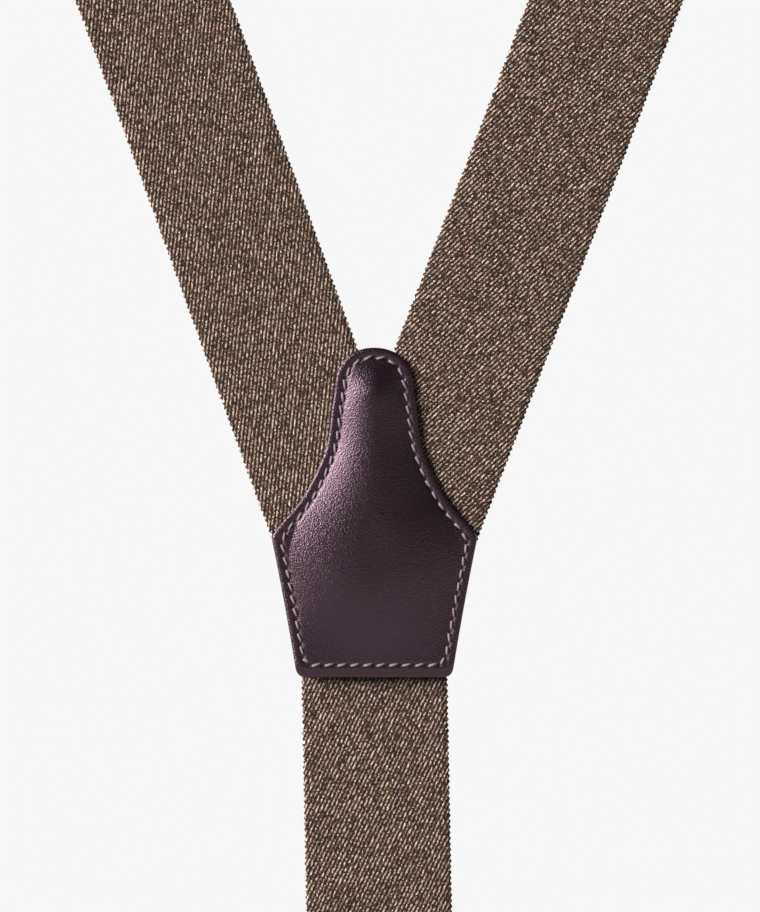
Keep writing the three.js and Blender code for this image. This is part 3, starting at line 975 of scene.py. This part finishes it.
@dataclass
class YokeShape:
    """The yoke's outline, half-width over depth below its top, and the dome of its face.

    The outline has a round cap, a neck that flares to the side corners, hollow sides and small foot corners.
    """

    top: float = -273.0 * MM
    height: float = 79.1 * MM
    cap_width: float = 9.5 * MM
    cap_depth: float = 9.9 * MM
    fullness: float = 2.2
    foot_width: float = 18.9 * MM
    foot_radius: float = 2.0 * MM
    points: int = 420
    inset: float = 0.0
    leather: float = 1.1 * MM
    crown: float = 2.8 * MM
    border: float = 2.9 * MM
    neck_slope: float = 9.5 * MM
    body_slope: float = 17.0 * MM
    stitch_inset: float = 2.2 * MM
    foot_inset: float = 3.0 * MM
    fullest: tuple[float, float] = (0.76, 1.12)
    fullest_depths: tuple[float, float] = (16.0 * MM, 46.0 * MM)
    shoulder_power: float = 1.85
    slope_power: float = 1.3
    evening: float = 8.0 * MM

    def __post_init__(self) -> None:
        """Draws the outline and the stitch line."""
        self.outline = self.draw_outline()
        self.stitch_line = self.draw_stitch_line()

    def draw_outline(self) -> Array:
        """The closed outline, evenly spaced from the top's middle round by +X, as across and depth.

        Returns:
            The outline's points.
        """
        share = 1.0 - np.cos(np.linspace(0.0, math.pi / 2, 60))
        cap_half = self.cap_width * (1.0 - (1.0 - share) ** self.fullness) ** (1 / self.fullness)
        cap = np.stack([cap_half, self.cap_depth * share], axis=-1)
        knots = [[9.5, 9.9], [10.3, 15.0], [11.8, 24.5], [16.9, 35.4], [22.7, 42.5], [24.75, 45.3]]
        neck = smooth_line(MM * np.array(knots), 20)
        t = np.linspace(0.0, 1.0, 60)[:, None]
        corner, middle = MM * np.array([24.75, 45.3]), MM * np.array([21.5, 61.0])
        foot_side = np.array([self.foot_width, self.height - self.foot_radius])
        side = (1 - t) ** 2 * corner + 2 * t * (1 - t) * middle + t**2 * foot_side
        angle = np.linspace(0.0, math.pi / 2, 14)
        turn = np.stack([np.cos(angle), np.sin(angle)], axis=-1)
        foot = foot_side - (self.foot_radius, 0.0) + self.foot_radius * turn
        half = np.vstack([cap[:-1], neck[:-1], side[:-1], foot, [[0.0, self.height]]])
        length = lengths_along(half)
        right = read_line(np.linspace(0.0, length[-1], self.points // 2 + 1), length, half)
        line = np.vstack([right, right[-2:0:-1] * (-1.0, 1.0)])
        for _ in range(4):
            line = (np.roll(line, 1, axis=0) + 2 * line + np.roll(line, -1, axis=0)) / 4
        return line + self.inward(line) * self.inset

    def inward(self, line: Array) -> Array:
        """The unit direction into the yoke at each outline point.

        Args:
            line: The closed outline.

        Returns:
            The direction at each of its points.
        """
        run = np.roll(line, -1, axis=0) - np.roll(line, 1, axis=0)
        turned = np.stack([-run[:, 1], run[:, 0]], axis=-1)
        return turned / np.linalg.norm(turned, axis=1, keepdims=True)

    def distance(self, places: Array, line: Array) -> Array:
        """How far each place is from a closed line, by its nearest stretch.

        Args:
            places: Places across and in depth.
            line: The closed line's points.

        Returns:
            The distance of each place.
        """
        ends = np.roll(line, -1, axis=0) - line
        found = np.empty(len(places))
        for part in np.array_split(np.arange(len(places)), max(len(places) // 2000, 1)):
            away = places[part, None] - line[None]
            t = np.clip((away * ends).sum(axis=-1) / (ends**2).sum(axis=-1), 0.0, 1.0)
            found[part] = np.linalg.norm(away - ends * t[..., None], axis=-1).min(axis=1)
        return found

    def draw_stitch_line(self) -> Array:
        """The closed stitch line: the outline moved in, further at the foot, less what crosses at corners.

        Returns:
            The line's points.
        """
        line, inward = self.outline, self.inward(self.outline)
        foot = smoothstep(-inward[:, 1], 0.55, 0.95) * (line[:, 1] > self.height - 4 * MM)
        moved = line + inward * (self.stitch_inset + (self.foot_inset - self.stitch_inset) * foot)[:, None]
        clear = self.distance(moved, line) > self.stitch_inset - 0.06 * MM
        clear &= moved[:, 1] < self.height - self.foot_inset + 0.05 * MM
        return moved[clear]

    def half_width(self, depth: Array) -> Array:
        """Half the yoke's width at each depth.

        Args:
            depth: Depths below the yoke's top.

        Returns:
            The half-width at each depth.
        """
        right = self.outline[: self.points // 2 + 1]
        order = np.argsort(right[:, 1])
        return np.interp(depth, right[order, 1], right[order, 0])

    def dome_width(self, depth: Array) -> Array:
        """Half the width that the dome follows: the outline's, evened out round the side corners.

        Args:
            depth: Depths below the yoke's top.

        Returns:
            The half-width at each depth.
        """
        reach = smoothstep(depth, 25 * MM, 40 * MM)
        shifts = np.linspace(-self.evening, self.evening, 17)
        depths = np.minimum(depth + reach * shifts[:, None], self.height - 3 * MM)
        return np.minimum(self.half_width(depth), self.half_width(depths).mean(axis=0))

    def dome(self, places: Array) -> Array:
        """The crown's height: rounded shoulders inside the border, a flat middle and slopes at both ends.

        The shoulder is one less a power of the share still to rise. Each slope is a power of a quarter sine.

        Args:
            places: Places across and in depth.

        Returns:
            The height of the crown at each place.
        """
        across, depth = np.abs(places[:, 0]), places[:, 1]
        room = np.maximum(self.dome_width(depth) - self.border, 0.1 * MM)
        side = np.clip((room - across) / np.minimum(self.body_slope, room), 0.0, 1.0)
        head = np.clip((depth - self.border) / self.neck_slope, 0.0, 1.0)
        foot = np.clip((self.height - depth - 1.0 * MM - self.border) / (1.3 * self.body_slope), 0.0, 1.0)
        rise = 1.0 - (1.0 - side) ** self.shoulder_power
        for end in (head, foot):
            rise = rise * np.sin(end * math.pi / 2) ** self.slope_power
        neck, body = self.fullest
        return self.crown * (neck + (body - neck) * smoothstep(depth, *self.fullest_depths)) * rise

    def rings(self, offsets: Array, shares: Array) -> Array:
        """Rings of places from the outline inwards: first straight in, then by shares to the middle line.

        Args:
            offsets: Distances straight in.
            shares: Shares of the way from the last of them to the middle line.

        Returns:
            The places, ring by ring.
        """
        edge, inward = self.outline, self.inward(self.outline)
        first = edge[None] + inward[None] * offsets[:, None, None]
        middle = np.clip(edge[:, 1], self.cap_depth, self.height - 19 * MM)
        spine = np.stack([np.zeros(len(edge)), middle], axis=-1)
        return np.concatenate([first, first[-1:] + (spine - first[-1])[None] * shares[:, None, None]])


@dataclass
class Hide:
    """A shaped sheet of leather or felt with the yoke's outline, given by its upper and lower heights."""

    shape: YokeShape
    base: float
    facing: int
    round: float = 1.2 * MM
    edge_drop: float = 0.55 * MM
    shares: int = 90
    under_shares: int = 24
    under_edge: float = 0.12 * MM
    closing: float = 0.985
    pit_radius: float = 0.40 * MM
    # The radius of the painted shade round each needle hole, wider than the hole itself.
    pit_stain: float = 0.62 * MM

    def build(self, upper: Callable[[Array], Array], lower: Callable[[Array], Array]) -> Surface:
        """Makes the sheet from rings over the top, round the edge and back underneath.

        Args:
            upper: The upper height above the base at places across and in depth.
            lower: The lower height.

        Returns:
            The closed surface, with edge numbers and the needle holes' painted shade numbers.
        """
        shape, radius = self.shape, self.round
        # The rings crowd towards the edge, where the top falls away most steeply.
        offsets = radius * np.array([0.0, 0.012, 0.05, 0.12, 0.22, 0.36, 0.55, 0.78, 1.0, 1.2])
        over = shape.rings(offsets, np.linspace(0.0, self.closing, self.shares)[1:])
        under_shares = np.linspace(0.0, self.closing, self.under_shares)[1:]
        under = shape.rings(np.array([0.0, self.under_edge]), under_shares)
        count = over.shape[1]
        flat_over, flat_under = over.reshape(-1, 2), under.reshape(-1, 2)
        inset = np.repeat(np.concatenate([offsets, np.full(self.shares - 1, 1.0)]), count)
        away = np.clip(1.0 - inset / radius, 0.0, 1.0)
        drop = self.edge_drop * (1.0 - np.sqrt(1.0 - away**2.6))
        height = np.concatenate([upper(flat_over) - drop, lower(flat_under)])
        places = np.concatenate([flat_over, flat_under])
        rows = np.concatenate([np.arange(len(over))[::-1], len(over) + np.arange(len(under))])
        order = (rows[:, None] * count + np.arange(count)).ravel()
        paint = 1.0 - smoothstep(inset, 0.1 * radius, 0.35 * radius)
        edge = np.concatenate([paint, np.ones(len(flat_under))])
        # Painted shade: how dark each point of the top is painted in and round the needle holes.
        pit = np.concatenate([self.pits(flat_over, self.pit_stain), np.zeros(len(flat_under))])
        points = np.stack([places[:, 0], self.base + self.facing * height, shape.top - places[:, 1]], axis=-1)
        first, last = np.arange(count), np.arange(count) + (len(rows) - 1) * count
        made = Surface()
        made.add(
            points[order],
            [grid_faces(len(rows), count, wrap=True), *self.zip(first, turned=True), *self.zip(last)],
            places[order],
            edge=edge[order],
            pit=pit[order],
        )
        return made

    def zip(self, ring: Array, turned: bool = False) -> list[Array]:
        """Closes a ring along the middle line with faces that join two neighbours to their mirrored pair.

        Args:
            ring: Point numbers in order round the ring.
            turned: Whether to reverse the faces.

        Returns:
            Quads, and the triangle at each end.
        """
        half = len(ring) // 2
        near = np.arange(1, half - 1)
        far = len(ring) - near
        quads = np.stack([ring[near], ring[near + 1], ring[far - 1], ring[far]], axis=-1)
        ends = np.array([[ring[0], ring[1], ring[-1]], [ring[half - 1], ring[half], ring[half + 1]]])
        return [quads[:, ::-1], ends[:, ::-1]] if turned else [quads, ends]

    def pits(self, places: Array, radius: float) -> Array:
        """How deep each place is in a needle hole, from 0 to 1: a bell curve of the way to the nearest.

        Args:
            places: Places across and in depth.
            radius: The bell curve's radius.

        Returns:
            The share of a hole's full depth.
        """
        holes = Seam(self.shape).holes()
        found = np.full(len(places), np.inf)
        for part in np.array_split(np.arange(len(holes)), 12):
            away = np.linalg.norm(places[:, None] - holes[None, part], axis=-1)
            found = np.minimum(found, away.min(axis=1))
        return np.exp(-((found / radius) ** 2))


def add_tube(
    made: Surface, centre: Array, across: Array, facing: float, radius: Array, sides: int = 8
) -> None:
    """Adds one stitch: a closed tube that is a little flatter than it is wide.

    Args:
        made: The surface it is added to.
        centre: Points along its middle.
        across: The unit direction across it, in the plane of what it is sewn to.
        facing: The sign of Y that it faces.
        radius: Its radius at each point.
        sides: How many points each ring has.
    """
    angle = 2 * math.pi * np.arange(sides) / sides
    ring = across * np.cos(angle)[:, None] + np.array([0.0, 0.85 * facing, 0.0]) * np.sin(angle)[:, None]
    tube = centre[:, None] + ring[None] * radius[:, None, None]
    weave = np.stack(np.broadcast_arrays(angle[None] * radius.max(), lengths_along(centre)[:, None]), axis=-1)
    made.add_sleeve(tube, centre[[0, -1]], weave)


@dataclass
class TailSewing:
    """Two rows of stitches across a folded strap end, on both outer faces."""

    name: str
    across: float
    faces: tuple[float, float]
    heights: tuple[float, float]
    bodies: tuple[str, str]
    bend: tuple[float, float]
    half_width: float = 15.0 * MM
    pitch: float = 2.5 * MM
    thread: float = 0.25 * MM
    sink: float = 0.12 * MM

    def build(self, material: Material) -> Object:
        """Makes the rows.

        Args:
            material: The thread's material.

        Returns:
            The stitches.
        """
        made = Surface()
        count = int(round(2 * self.half_width / self.pitch))
        t = np.linspace(0.0, 1.0, 7)
        swell = np.sin(math.pi * np.clip(t, 0.03, 0.97)) ** 0.5
        radius = self.thread * (0.7 + 0.3 * swell)
        for face, facing in zip(self.faces, (-1.0, 1.0)):
            for height in self.heights:
                for k in range(count):
                    x = self.across - self.half_width + (k + 0.08 + 0.84 * t) * self.pitch
                    y = face + facing * self.sink * (2 * swell - 1)
                    z = height + self.sink * (2 * t - 1)
                    add_tube(made, np.stack([x, y, z], axis=-1), np.array([0.0, 0.0, 1.0]), facing, radius)
        piece = made.make(self.name, material)
        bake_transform(piece)
        return piece


@dataclass
class Seam:
    """The sewing round the yoke: slanted stitches from needle hole to needle hole."""

    shape: YokeShape
    pitch: float = 3.1 * MM
    thread: float = 0.34 * MM
    slant: float = 0.22 * MM
    lift: float = 0.20 * MM
    sink: float = 0.22 * MM
    shares: tuple[float, float] = (0.17, 0.83)
    stations: int = 9
    play: float = 0.02 * MM

    def holes(self) -> Array:
        """The needle holes, evenly spaced round the stitch line.

        Returns:
            The holes' places across and in depth.
        """
        line = np.vstack([self.shape.stitch_line, self.shape.stitch_line[:1]])
        length = lengths_along(line)
        count = int(round(length[-1] / self.pitch))
        return read_line(np.arange(count) / count * length[-1], length, line)

    def build(self, height: Callable[[Array], Array], base: float, facing: int, seed: int) -> Surface:
        """Makes one short tube per stitch, which dips into a hole at both ends and stands proud between.

        Args:
            height: The leather's height above the base at places across and in depth.
            base: The place of the base along Y.
            facing: -1 for stitches seen from the back of the wearer, 1 for those on the wearer's side.
            seed: The start of the small differences between stitches.

        Returns:
            The stitches as closed parts.
        """
        rng = np.random.default_rng(seed)
        holes = self.holes()
        made = Surface()
        first, last = self.shares
        t = np.linspace(0.0, 1.0, self.stations)
        for start, end in zip(holes, np.roll(holes, -1, axis=0)):
            run = end - start
            aside = np.array([-run[1], run[0]]) / np.linalg.norm(run)
            slant = self.slant * (1.0 + 0.3 * rng.standard_normal()) * (2 * t - 1)
            line = start + run * (first + (last - first) * t)[:, None] - aside * slant[:, None]
            swell = np.sin(math.pi * np.clip(t, 0.02, 0.98)) ** 0.5
            rise = height(line) - self.sink + (self.lift + self.sink) * swell
            rise = rise + self.play * rng.standard_normal()
            centre = np.stack([line[:, 0], base + facing * rise, self.shape.top - line[:, 1]], axis=-1)
            radius = self.thread * (0.72 + 0.28 * swell) * (1.0 + 0.05 * rng.standard_normal())
            add_tube(made, centre, np.array([aside[0], 0.0, -aside[1]]), float(facing), radius)
        return made


@dataclass
class Yoke:
    """The leather yoke: a domed face over felt, a lining on the wearer's side, and the sewing of both."""

    face_base: float = -110.8 * MM
    seat: float = 0.12 * MM
    foot_lift: float = -0.4 * MM
    lining_base: float = -107.0 * MM
    lining_leather: float = 1.2 * MM
    step: float = 1.9 * MM
    groove: float = 0.14 * MM
    groove_width: float = 0.60 * MM
    pit_depth: float = 0.28 * MM
    lining_pit: float = 0.30 * MM
    padding_inset: float = 6.8 * MM
    padding_share: float = 0.8
    colour: Triple = (0.0065, 0.0028, 0.0045)
    edge: Triple = (0.008, 0.004, 0.006)
    lining_colour: Triple = (0.085, 0.045, 0.056)
    thread_colour: Triple = (0.35, 0.24, 0.29)
    face_shape: YokeShape = field(default_factory=YokeShape)

    def face_height(self, places: Array) -> Array:
        """The face's upper height: seat, leather and dome, less the groove that the thread pulls in.

        Args:
            places: Places across and in depth.

        Returns:
            The height above the face's base.
        """
        shape = self.face_shape
        line = np.exp(-((shape.distance(places, shape.stitch_line) / self.groove_width) ** 2))
        lift = self.foot_lift * smoothstep(places[:, 1], shape.height - 3.0 * MM, shape.height - 0.6 * MM)
        return self.seat + shape.leather + shape.dome(places) + lift - self.groove * line

    def lining_height(self, places: Array) -> Array:
        """The lining's lower height: over the back strap low down, and on the shoulder straps above it."""
        over = smoothstep(places[:, 1], 38 * MM, 47 * MM)
        return -self.step * (1.0 - over)

    def lining_top(self, places: Array) -> Array:
        """The lining's upper height, one leather above its lower one."""
        return self.lining_height(places) + self.lining_leather

    def build(self) -> list[Object]:
        """Makes the yoke's pieces.

        Returns:
            The face, the felt, the lining and the two rows of stitches.
        """
        shape = self.face_shape
        leather = HideFinish("yoke_leather", self.colour, self.edge).material()
        lining_finish = HideFinish("lining_leather", self.lining_colour, self.edge, 0.6, 0.08 * MM)
        lining_material = lining_finish.material()
        thread = ThreadFinish("thread", self.thread_colour).material()
        hide = Hide(shape, self.face_base, -1)
        face = hide.build(
            lambda places: self.face_height(places) - self.pit_depth * hide.pits(places, hide.pit_radius),
            lambda places: self.seat + shape.dome(places),
        ).make("yoke_face_leather", leather)
        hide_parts("yoke_face")
        lining_shape = YokeShape(inset=0.4 * MM, stitch_inset=1.8 * MM, foot_inset=2.6 * MM)
        under = Hide(lining_shape, self.lining_base, 1, shares=60)
        lining = under.build(
            lambda places: self.lining_top(places) - self.lining_pit * under.pits(places, under.pit_radius),
            self.lining_height,
        ).make("yoke_lining_leather", lining_material)
        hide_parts("yoke_lining")
        felt_shape = YokeShape(inset=self.padding_inset, points=200)

        def felt_top(places: Array) -> Array:
            """The felt's upper height: most of the dome's, and never less than a thin layer."""
            return self.seat + np.maximum(self.padding_share * (shape.dome(places) - self.seat), 0.2 * MM)

        felt = Hide(felt_shape, self.face_base, -1, round=0.3 * MM, edge_drop=0.15 * MM, shares=24).build(
            felt_top, lambda places: np.full(len(places), self.seat)
        ).make("yoke_padding_felt", FeltFinish().material())
        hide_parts("yoke_padding")
        sewing = Seam(shape)
        front_rows = sewing.build(self.face_height, self.face_base, -1, seed=3)
        back_rows = sewing.build(self.lining_top, self.lining_base, 1, seed=4)
        seam = front_rows.make("yoke_face_stitches", thread)
        back_seam = back_rows.make("yoke_lining_stitches", thread)
        slots = (("yoke_leather", face, seam), ("lining_leather", lining, back_seam), ("filler", felt))
        for slot, *pieces in slots:
            for piece in pieces:
                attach(piece, "root")
        return [face, felt, lining, seam, back_seam]


# Hardware


@dataclass(frozen=True)
class MetalFinish:
    """Polished nickel plate, with faint rubbing marks and a slightly uneven polish."""

    name: str = "nickel"
    colour: Triple = (0.66, 0.63, 0.58)

    def material(self) -> Material:
        """Makes the metal's material.

        Returns:
            The material.
        """
        ink = Shader(self.name)
        place = ink.here()
        stretch = ink.node("Mapping")
        stretch.inputs["Scale"].default_value = (0.12, 1.0, 1.0)
        ink.feed(place, stretch.inputs[0])
        rub = ink.noise(stretch.outputs[0], 2600.0, 3.0, 0.6)
        cloud = ink.noise(place, 140.0, 3.0, 0.55)
        rough = ink.calc("ADD", ink.calc("MULTIPLY", rub, 0.10), ink.calc("MULTIPLY_ADD", cloud, 0.14, 0.09))
        tone = ink.mix(cloud, shade(self.colour, 0.9), self.colour)
        return ink.finish(Base_Color=tone, Metallic=1.0, Roughness=rough, Normal=ink.bump(rub, 0.01 * MM))


@dataclass(frozen=True)
class PadFinish:
    """Dark soft plastic of the clips' jaw pads."""

    colour: Triple = (0.026, 0.020, 0.021)

    def material(self) -> Material:
        """Makes the pads' material.

        Returns:
            The material.
        """
        ink = Shader("pad_plastic")
        fine = ink.noise(ink.here(), 2500.0, 2.0, 0.5)
        return ink.finish(Base_Color=self.colour, Roughness=0.55, Normal=ink.bump(fine, 0.02 * MM))


@dataclass
class Fitting:
    """One pressed metal part, taken from its node with merged points and softened edges."""

    node: str
    body: str
    softening: float = 0.25 * MM
    steps: int = 3
    flat_angle: float = math.radians(0.6)
    edge_angle: float = math.radians(40)

    def build(self, material: Material) -> Object:
        """Makes the part.

        Args:
            material: The metal's material.

        Returns:
            The part, riding on its body.
        """
        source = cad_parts[self.node]
        shape = bmesh.new()
        shape.from_mesh(source.data)
        shape.transform(source.matrix_world)
        bmesh.ops.remove_doubles(shape, verts=shape.verts, dist=1e-6)
        bmesh.ops.dissolve_limit(shape, angle_limit=self.flat_angle, verts=shape.verts, edges=shape.edges)
        bmesh.ops.recalc_face_normals(shape, faces=shape.faces)
        mesh = bpy.data.meshes.new(self.node + "_part")
        shape.to_mesh(mesh)
        shape.free()
        mesh.polygons.foreach_set("use_smooth", np.ones(len(mesh.polygons), bool))
        mesh.materials.append(material)
        piece = stand(self.node + "_part", mesh)
        bevel = piece.modifiers.new("softened_edges", "BEVEL")
        bevel.width = self.softening
        bevel.segments = self.steps
        bevel.limit_method = "ANGLE"
        bevel.angle_limit = self.edge_angle
        bevel.harden_normals = True
        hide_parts(self.node)
        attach(piece, self.body)
        return piece


@dataclass
class JawPad:
    """A ribbed pad in a clip's jaw: a flat block whose outer face carries rounded ribs across it."""

    end: str
    across: float
    face: float
    facing: int
    middle: float = -491.0 * MM
    half_width: float = 11.0 * MM
    half_height: float = 5.5 * MM
    thickness: float = 1.5 * MM
    ribs: int = 6
    rib_steps: int = 12
    rib_depth: float = 0.35 * MM
    end_round: float = 0.25 * MM

    def build(self, material: Material) -> Object:
        """Makes the pad. Its outer height is the face less a share of the rib depth, |cos| of the height.

        Args:
            material: The pad's material.

        Returns:
            The pad, riding on its clip.
        """
        up = np.linspace(-1.0, 1.0, self.ribs * self.rib_steps + 1)
        swell = np.abs(np.cos(up * math.pi * self.ribs / 2)) ** 0.6
        out = self.thickness - self.rib_depth * (1.0 - swell) - self.end_round * np.abs(up) ** 24
        ring_out = np.concatenate([out, [0.0, 0.0]])
        ring_up = np.concatenate([up, [1.0, -1.0]]) * self.half_height
        ends = self.half_width * np.array([-1.0, -0.985, -0.96, 0.96, 0.985, 1.0])
        shrink = np.array([0.86, 0.95, 1.0, 1.0, 0.95, 0.86])[:, None]
        x = self.across + ends[:, None]
        y = self.face + self.facing * ((ring_out - self.thickness / 2) * shrink - self.thickness / 2)
        z = self.middle + ring_up * (1.0 - (1.0 - shrink) * 0.2)
        core = self.face - self.facing * self.thickness / 2
        hubs = np.array([[self.across + end, core, self.middle] for end in (ends[0], ends[-1])])
        surface = Surface()
        surface.add_sleeve(np.stack(np.broadcast_arrays(x, y, z), axis=-1), hubs)
        piece = surface.make(self.end + "_clip_pad_ribbed", material, smooth=False)
        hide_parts(self.end + "_clip_pad")
        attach(piece, self.end + "_clip")
        return piece


@dataclass
class Hardware:
    """All clips and adjusters."""

    def build(self) -> list[Object]:
        """Makes every metal part and pad.

        Returns:
            The pieces.
        """
        nickel, plastic = MetalFinish().material(), PadFinish().material()
        pieces = []
        for end in ("left", "right", "back"):
            fittings = [
                Fitting(end + "_clip_base", end + "_clip"),
                Fitting(end + "_clip_pin", end + "_clip", 0.2 * MM),
                Fitting(end + "_clip_lever", end + "_clip_lever", 0.3 * MM),
            ]
            if end != "back":
                fittings += [
                    Fitting(end + "_adjuster_frame", end + "_adjuster"),
                    Fitting(end + "_adjuster_crossbar", end + "_adjuster", 0.2 * MM),
                    Fitting(end + "_adjuster_pin", end + "_adjuster", 0.2 * MM),
                    Fitting(end + "_adjuster_lever", end + "_adjuster_lever", 0.3 * MM),
                ]
            pieces += [fitting.build(nickel) for fitting in fittings]
        pads = [JawPad(side.name.lower(), side.value * FRONT_ACROSS, 107.95 * MM, 1) for side in Side]
        pads.append(JawPad("back", 0.0, -106.05 * MM, -1))
        return pieces + [pad.build(plastic) for pad in pads]


# Studio


@dataclass
class Studio:
    """A pale floor, a plain world and broad soft light: a key from the upper left, and one from behind."""

    background: float = 0.93
    ambient: float = 0.09
    key_from: Triple = (-1.42, -0.74, 0.66)
    key_strength: float = 7.6
    key_spread: float = 36.0
    back_from: Triple = (0.90, 1.30, 0.75)
    back_strength: float = 3.2
    back_spread: float = 60.0
    fill_from: Triple = (1.0, -0.9, 0.15)
    fill_strength: float = 0.10
    fill_spread: float = 40.0
    floor_height: float = -0.60
    floor_reach: float = 4.9
    floor_shade: float = 0.62
    lens: float = 658.4
    eye: Triple = (0.00132, -4.11, -0.2990)

    def light(self, name: str, place: Triple, strength: float, spread: float) -> None:
        """Adds one broad, distant light that shines from a direction.

        Args:
            name: Its name.
            place: The direction it shines from.
            strength: Its strength.
            spread: How wide it looks from the piece, in degrees.
        """
        data = bpy.data.lights.new(name, "SUN")
        data.energy = strength
        data.angle = math.radians(spread)
        lamp = stand(name, data)
        lamp.location = place
        lamp.rotation_euler = Vector(place).to_track_quat("Z", "Y").to_euler()

    def world(self) -> None:
        """Sets a world that shows pale to the camera and lights the piece more weakly."""
        world = bpy.data.worlds.new("studio")
        bpy.context.scene.world = world
        world.use_nodes = True
        nodes, links = world.node_tree.nodes, world.node_tree.links
        shade = nodes["Background"]
        shade.inputs["Color"].default_value = (1.0, 1.0, 1.0, 1.0)
        path = nodes.new("ShaderNodeLightPath")
        level = nodes.new("ShaderNodeMapRange")
        level.inputs["To Min"].default_value = self.ambient
        level.inputs["To Max"].default_value = self.background
        links.new(path.outputs["Is Camera Ray"], level.inputs["Value"])
        links.new(level.outputs["Result"], shade.inputs["Strength"])

    def floor(self) -> None:
        """Lays a plain pale floor under the piece."""
        mesh = bpy.data.meshes.new("floor")
        reach, height = self.floor_reach, self.floor_height
        corners = [(x * reach, y * reach, height) for x, y in ((-1, -1), (1, -1), (1, 1), (-1, 1))]
        mesh.from_pydata(corners, [], [(0, 1, 2, 3)])
        shader = Shader("floor")
        mesh.materials.append(shader.finish(Base_Color=(self.floor_shade,) * 3, Roughness=0.9))
        plane = stand("floor", mesh)
        plane.visible_diffuse = False

    def camera(self) -> None:
        """Sets the camera square to the yoke, far off, so that the straps keep an even width."""
        data = bpy.data.cameras.new("camera")
        data.lens = self.lens
        data.sensor_width = 36.0
        data.clip_end = 100.0
        eye = stand("camera", data)
        eye.location = self.eye
        eye.rotation_euler = (math.pi / 2, 0.0, 0.0)
        bpy.context.scene.camera = eye

    def build(self) -> None:
        """Sets up the whole studio."""
        self.world()
        self.floor()
        self.camera()
        self.light("key", self.key_from, self.key_strength, self.key_spread)
        self.light("back", self.back_from, self.back_strength, self.back_spread)
        self.light("fill", self.fill_from, self.fill_strength, self.fill_spread)
        bpy.context.scene.view_settings.view_transform = "Standard"


def tail_sewing() -> list[TailSewing]:
    """The sewing of the two free ends and of the back strap's tail.

    Returns:
        The three pieces of sewing, not yet built.
    """
    rows = []
    for side in Side:
        name, across = side.name.lower(), side.value * FRONT_ACROSS
        faces, heights = (101.98 * MM, 105.52 * MM), (-0.3925, -0.4005)
        bodies, bend = (name + "_drop", name + "_adjuster"), (-0.4427, -0.3790)
        rows.append(TailSewing(name + "_return_sewing", across, faces, heights, bodies, bend))
    faces, heights = (-108.92 * MM, -105.38 * MM), (-0.4195, -0.4275)
    rows.append(TailSewing("back_sewing", 0.0, faces, heights, ("root", "back_end"), (-0.345, -0.411)))
    return rows


def main() -> None:
    """Builds every piece in order and logs it."""
    logging.basicConfig(level=logging.INFO, format="%(message)s")
    webbing = Webbing()
    material = TwillFinish().material()
    pieces = [FrontStrap(side, webbing).build(material) for side in Side]
    pieces += [ReturnStrap(side, webbing).build(material) for side in Side]
    pieces.append(BackStrap(webbing).build(material))
    pieces += Yoke().build()
    thread = ThreadFinish("webbing_thread", (0.16, 0.115, 0.09)).material()
    pieces += [sewing.build(thread) for sewing in tail_sewing()]
    pieces += Hardware().build()
    for piece in pieces:
        LOG.info("%s: %d faces", piece.name, len(piece.data.polygons))
    Studio().build()


if __name__ == "__main__":
    main()
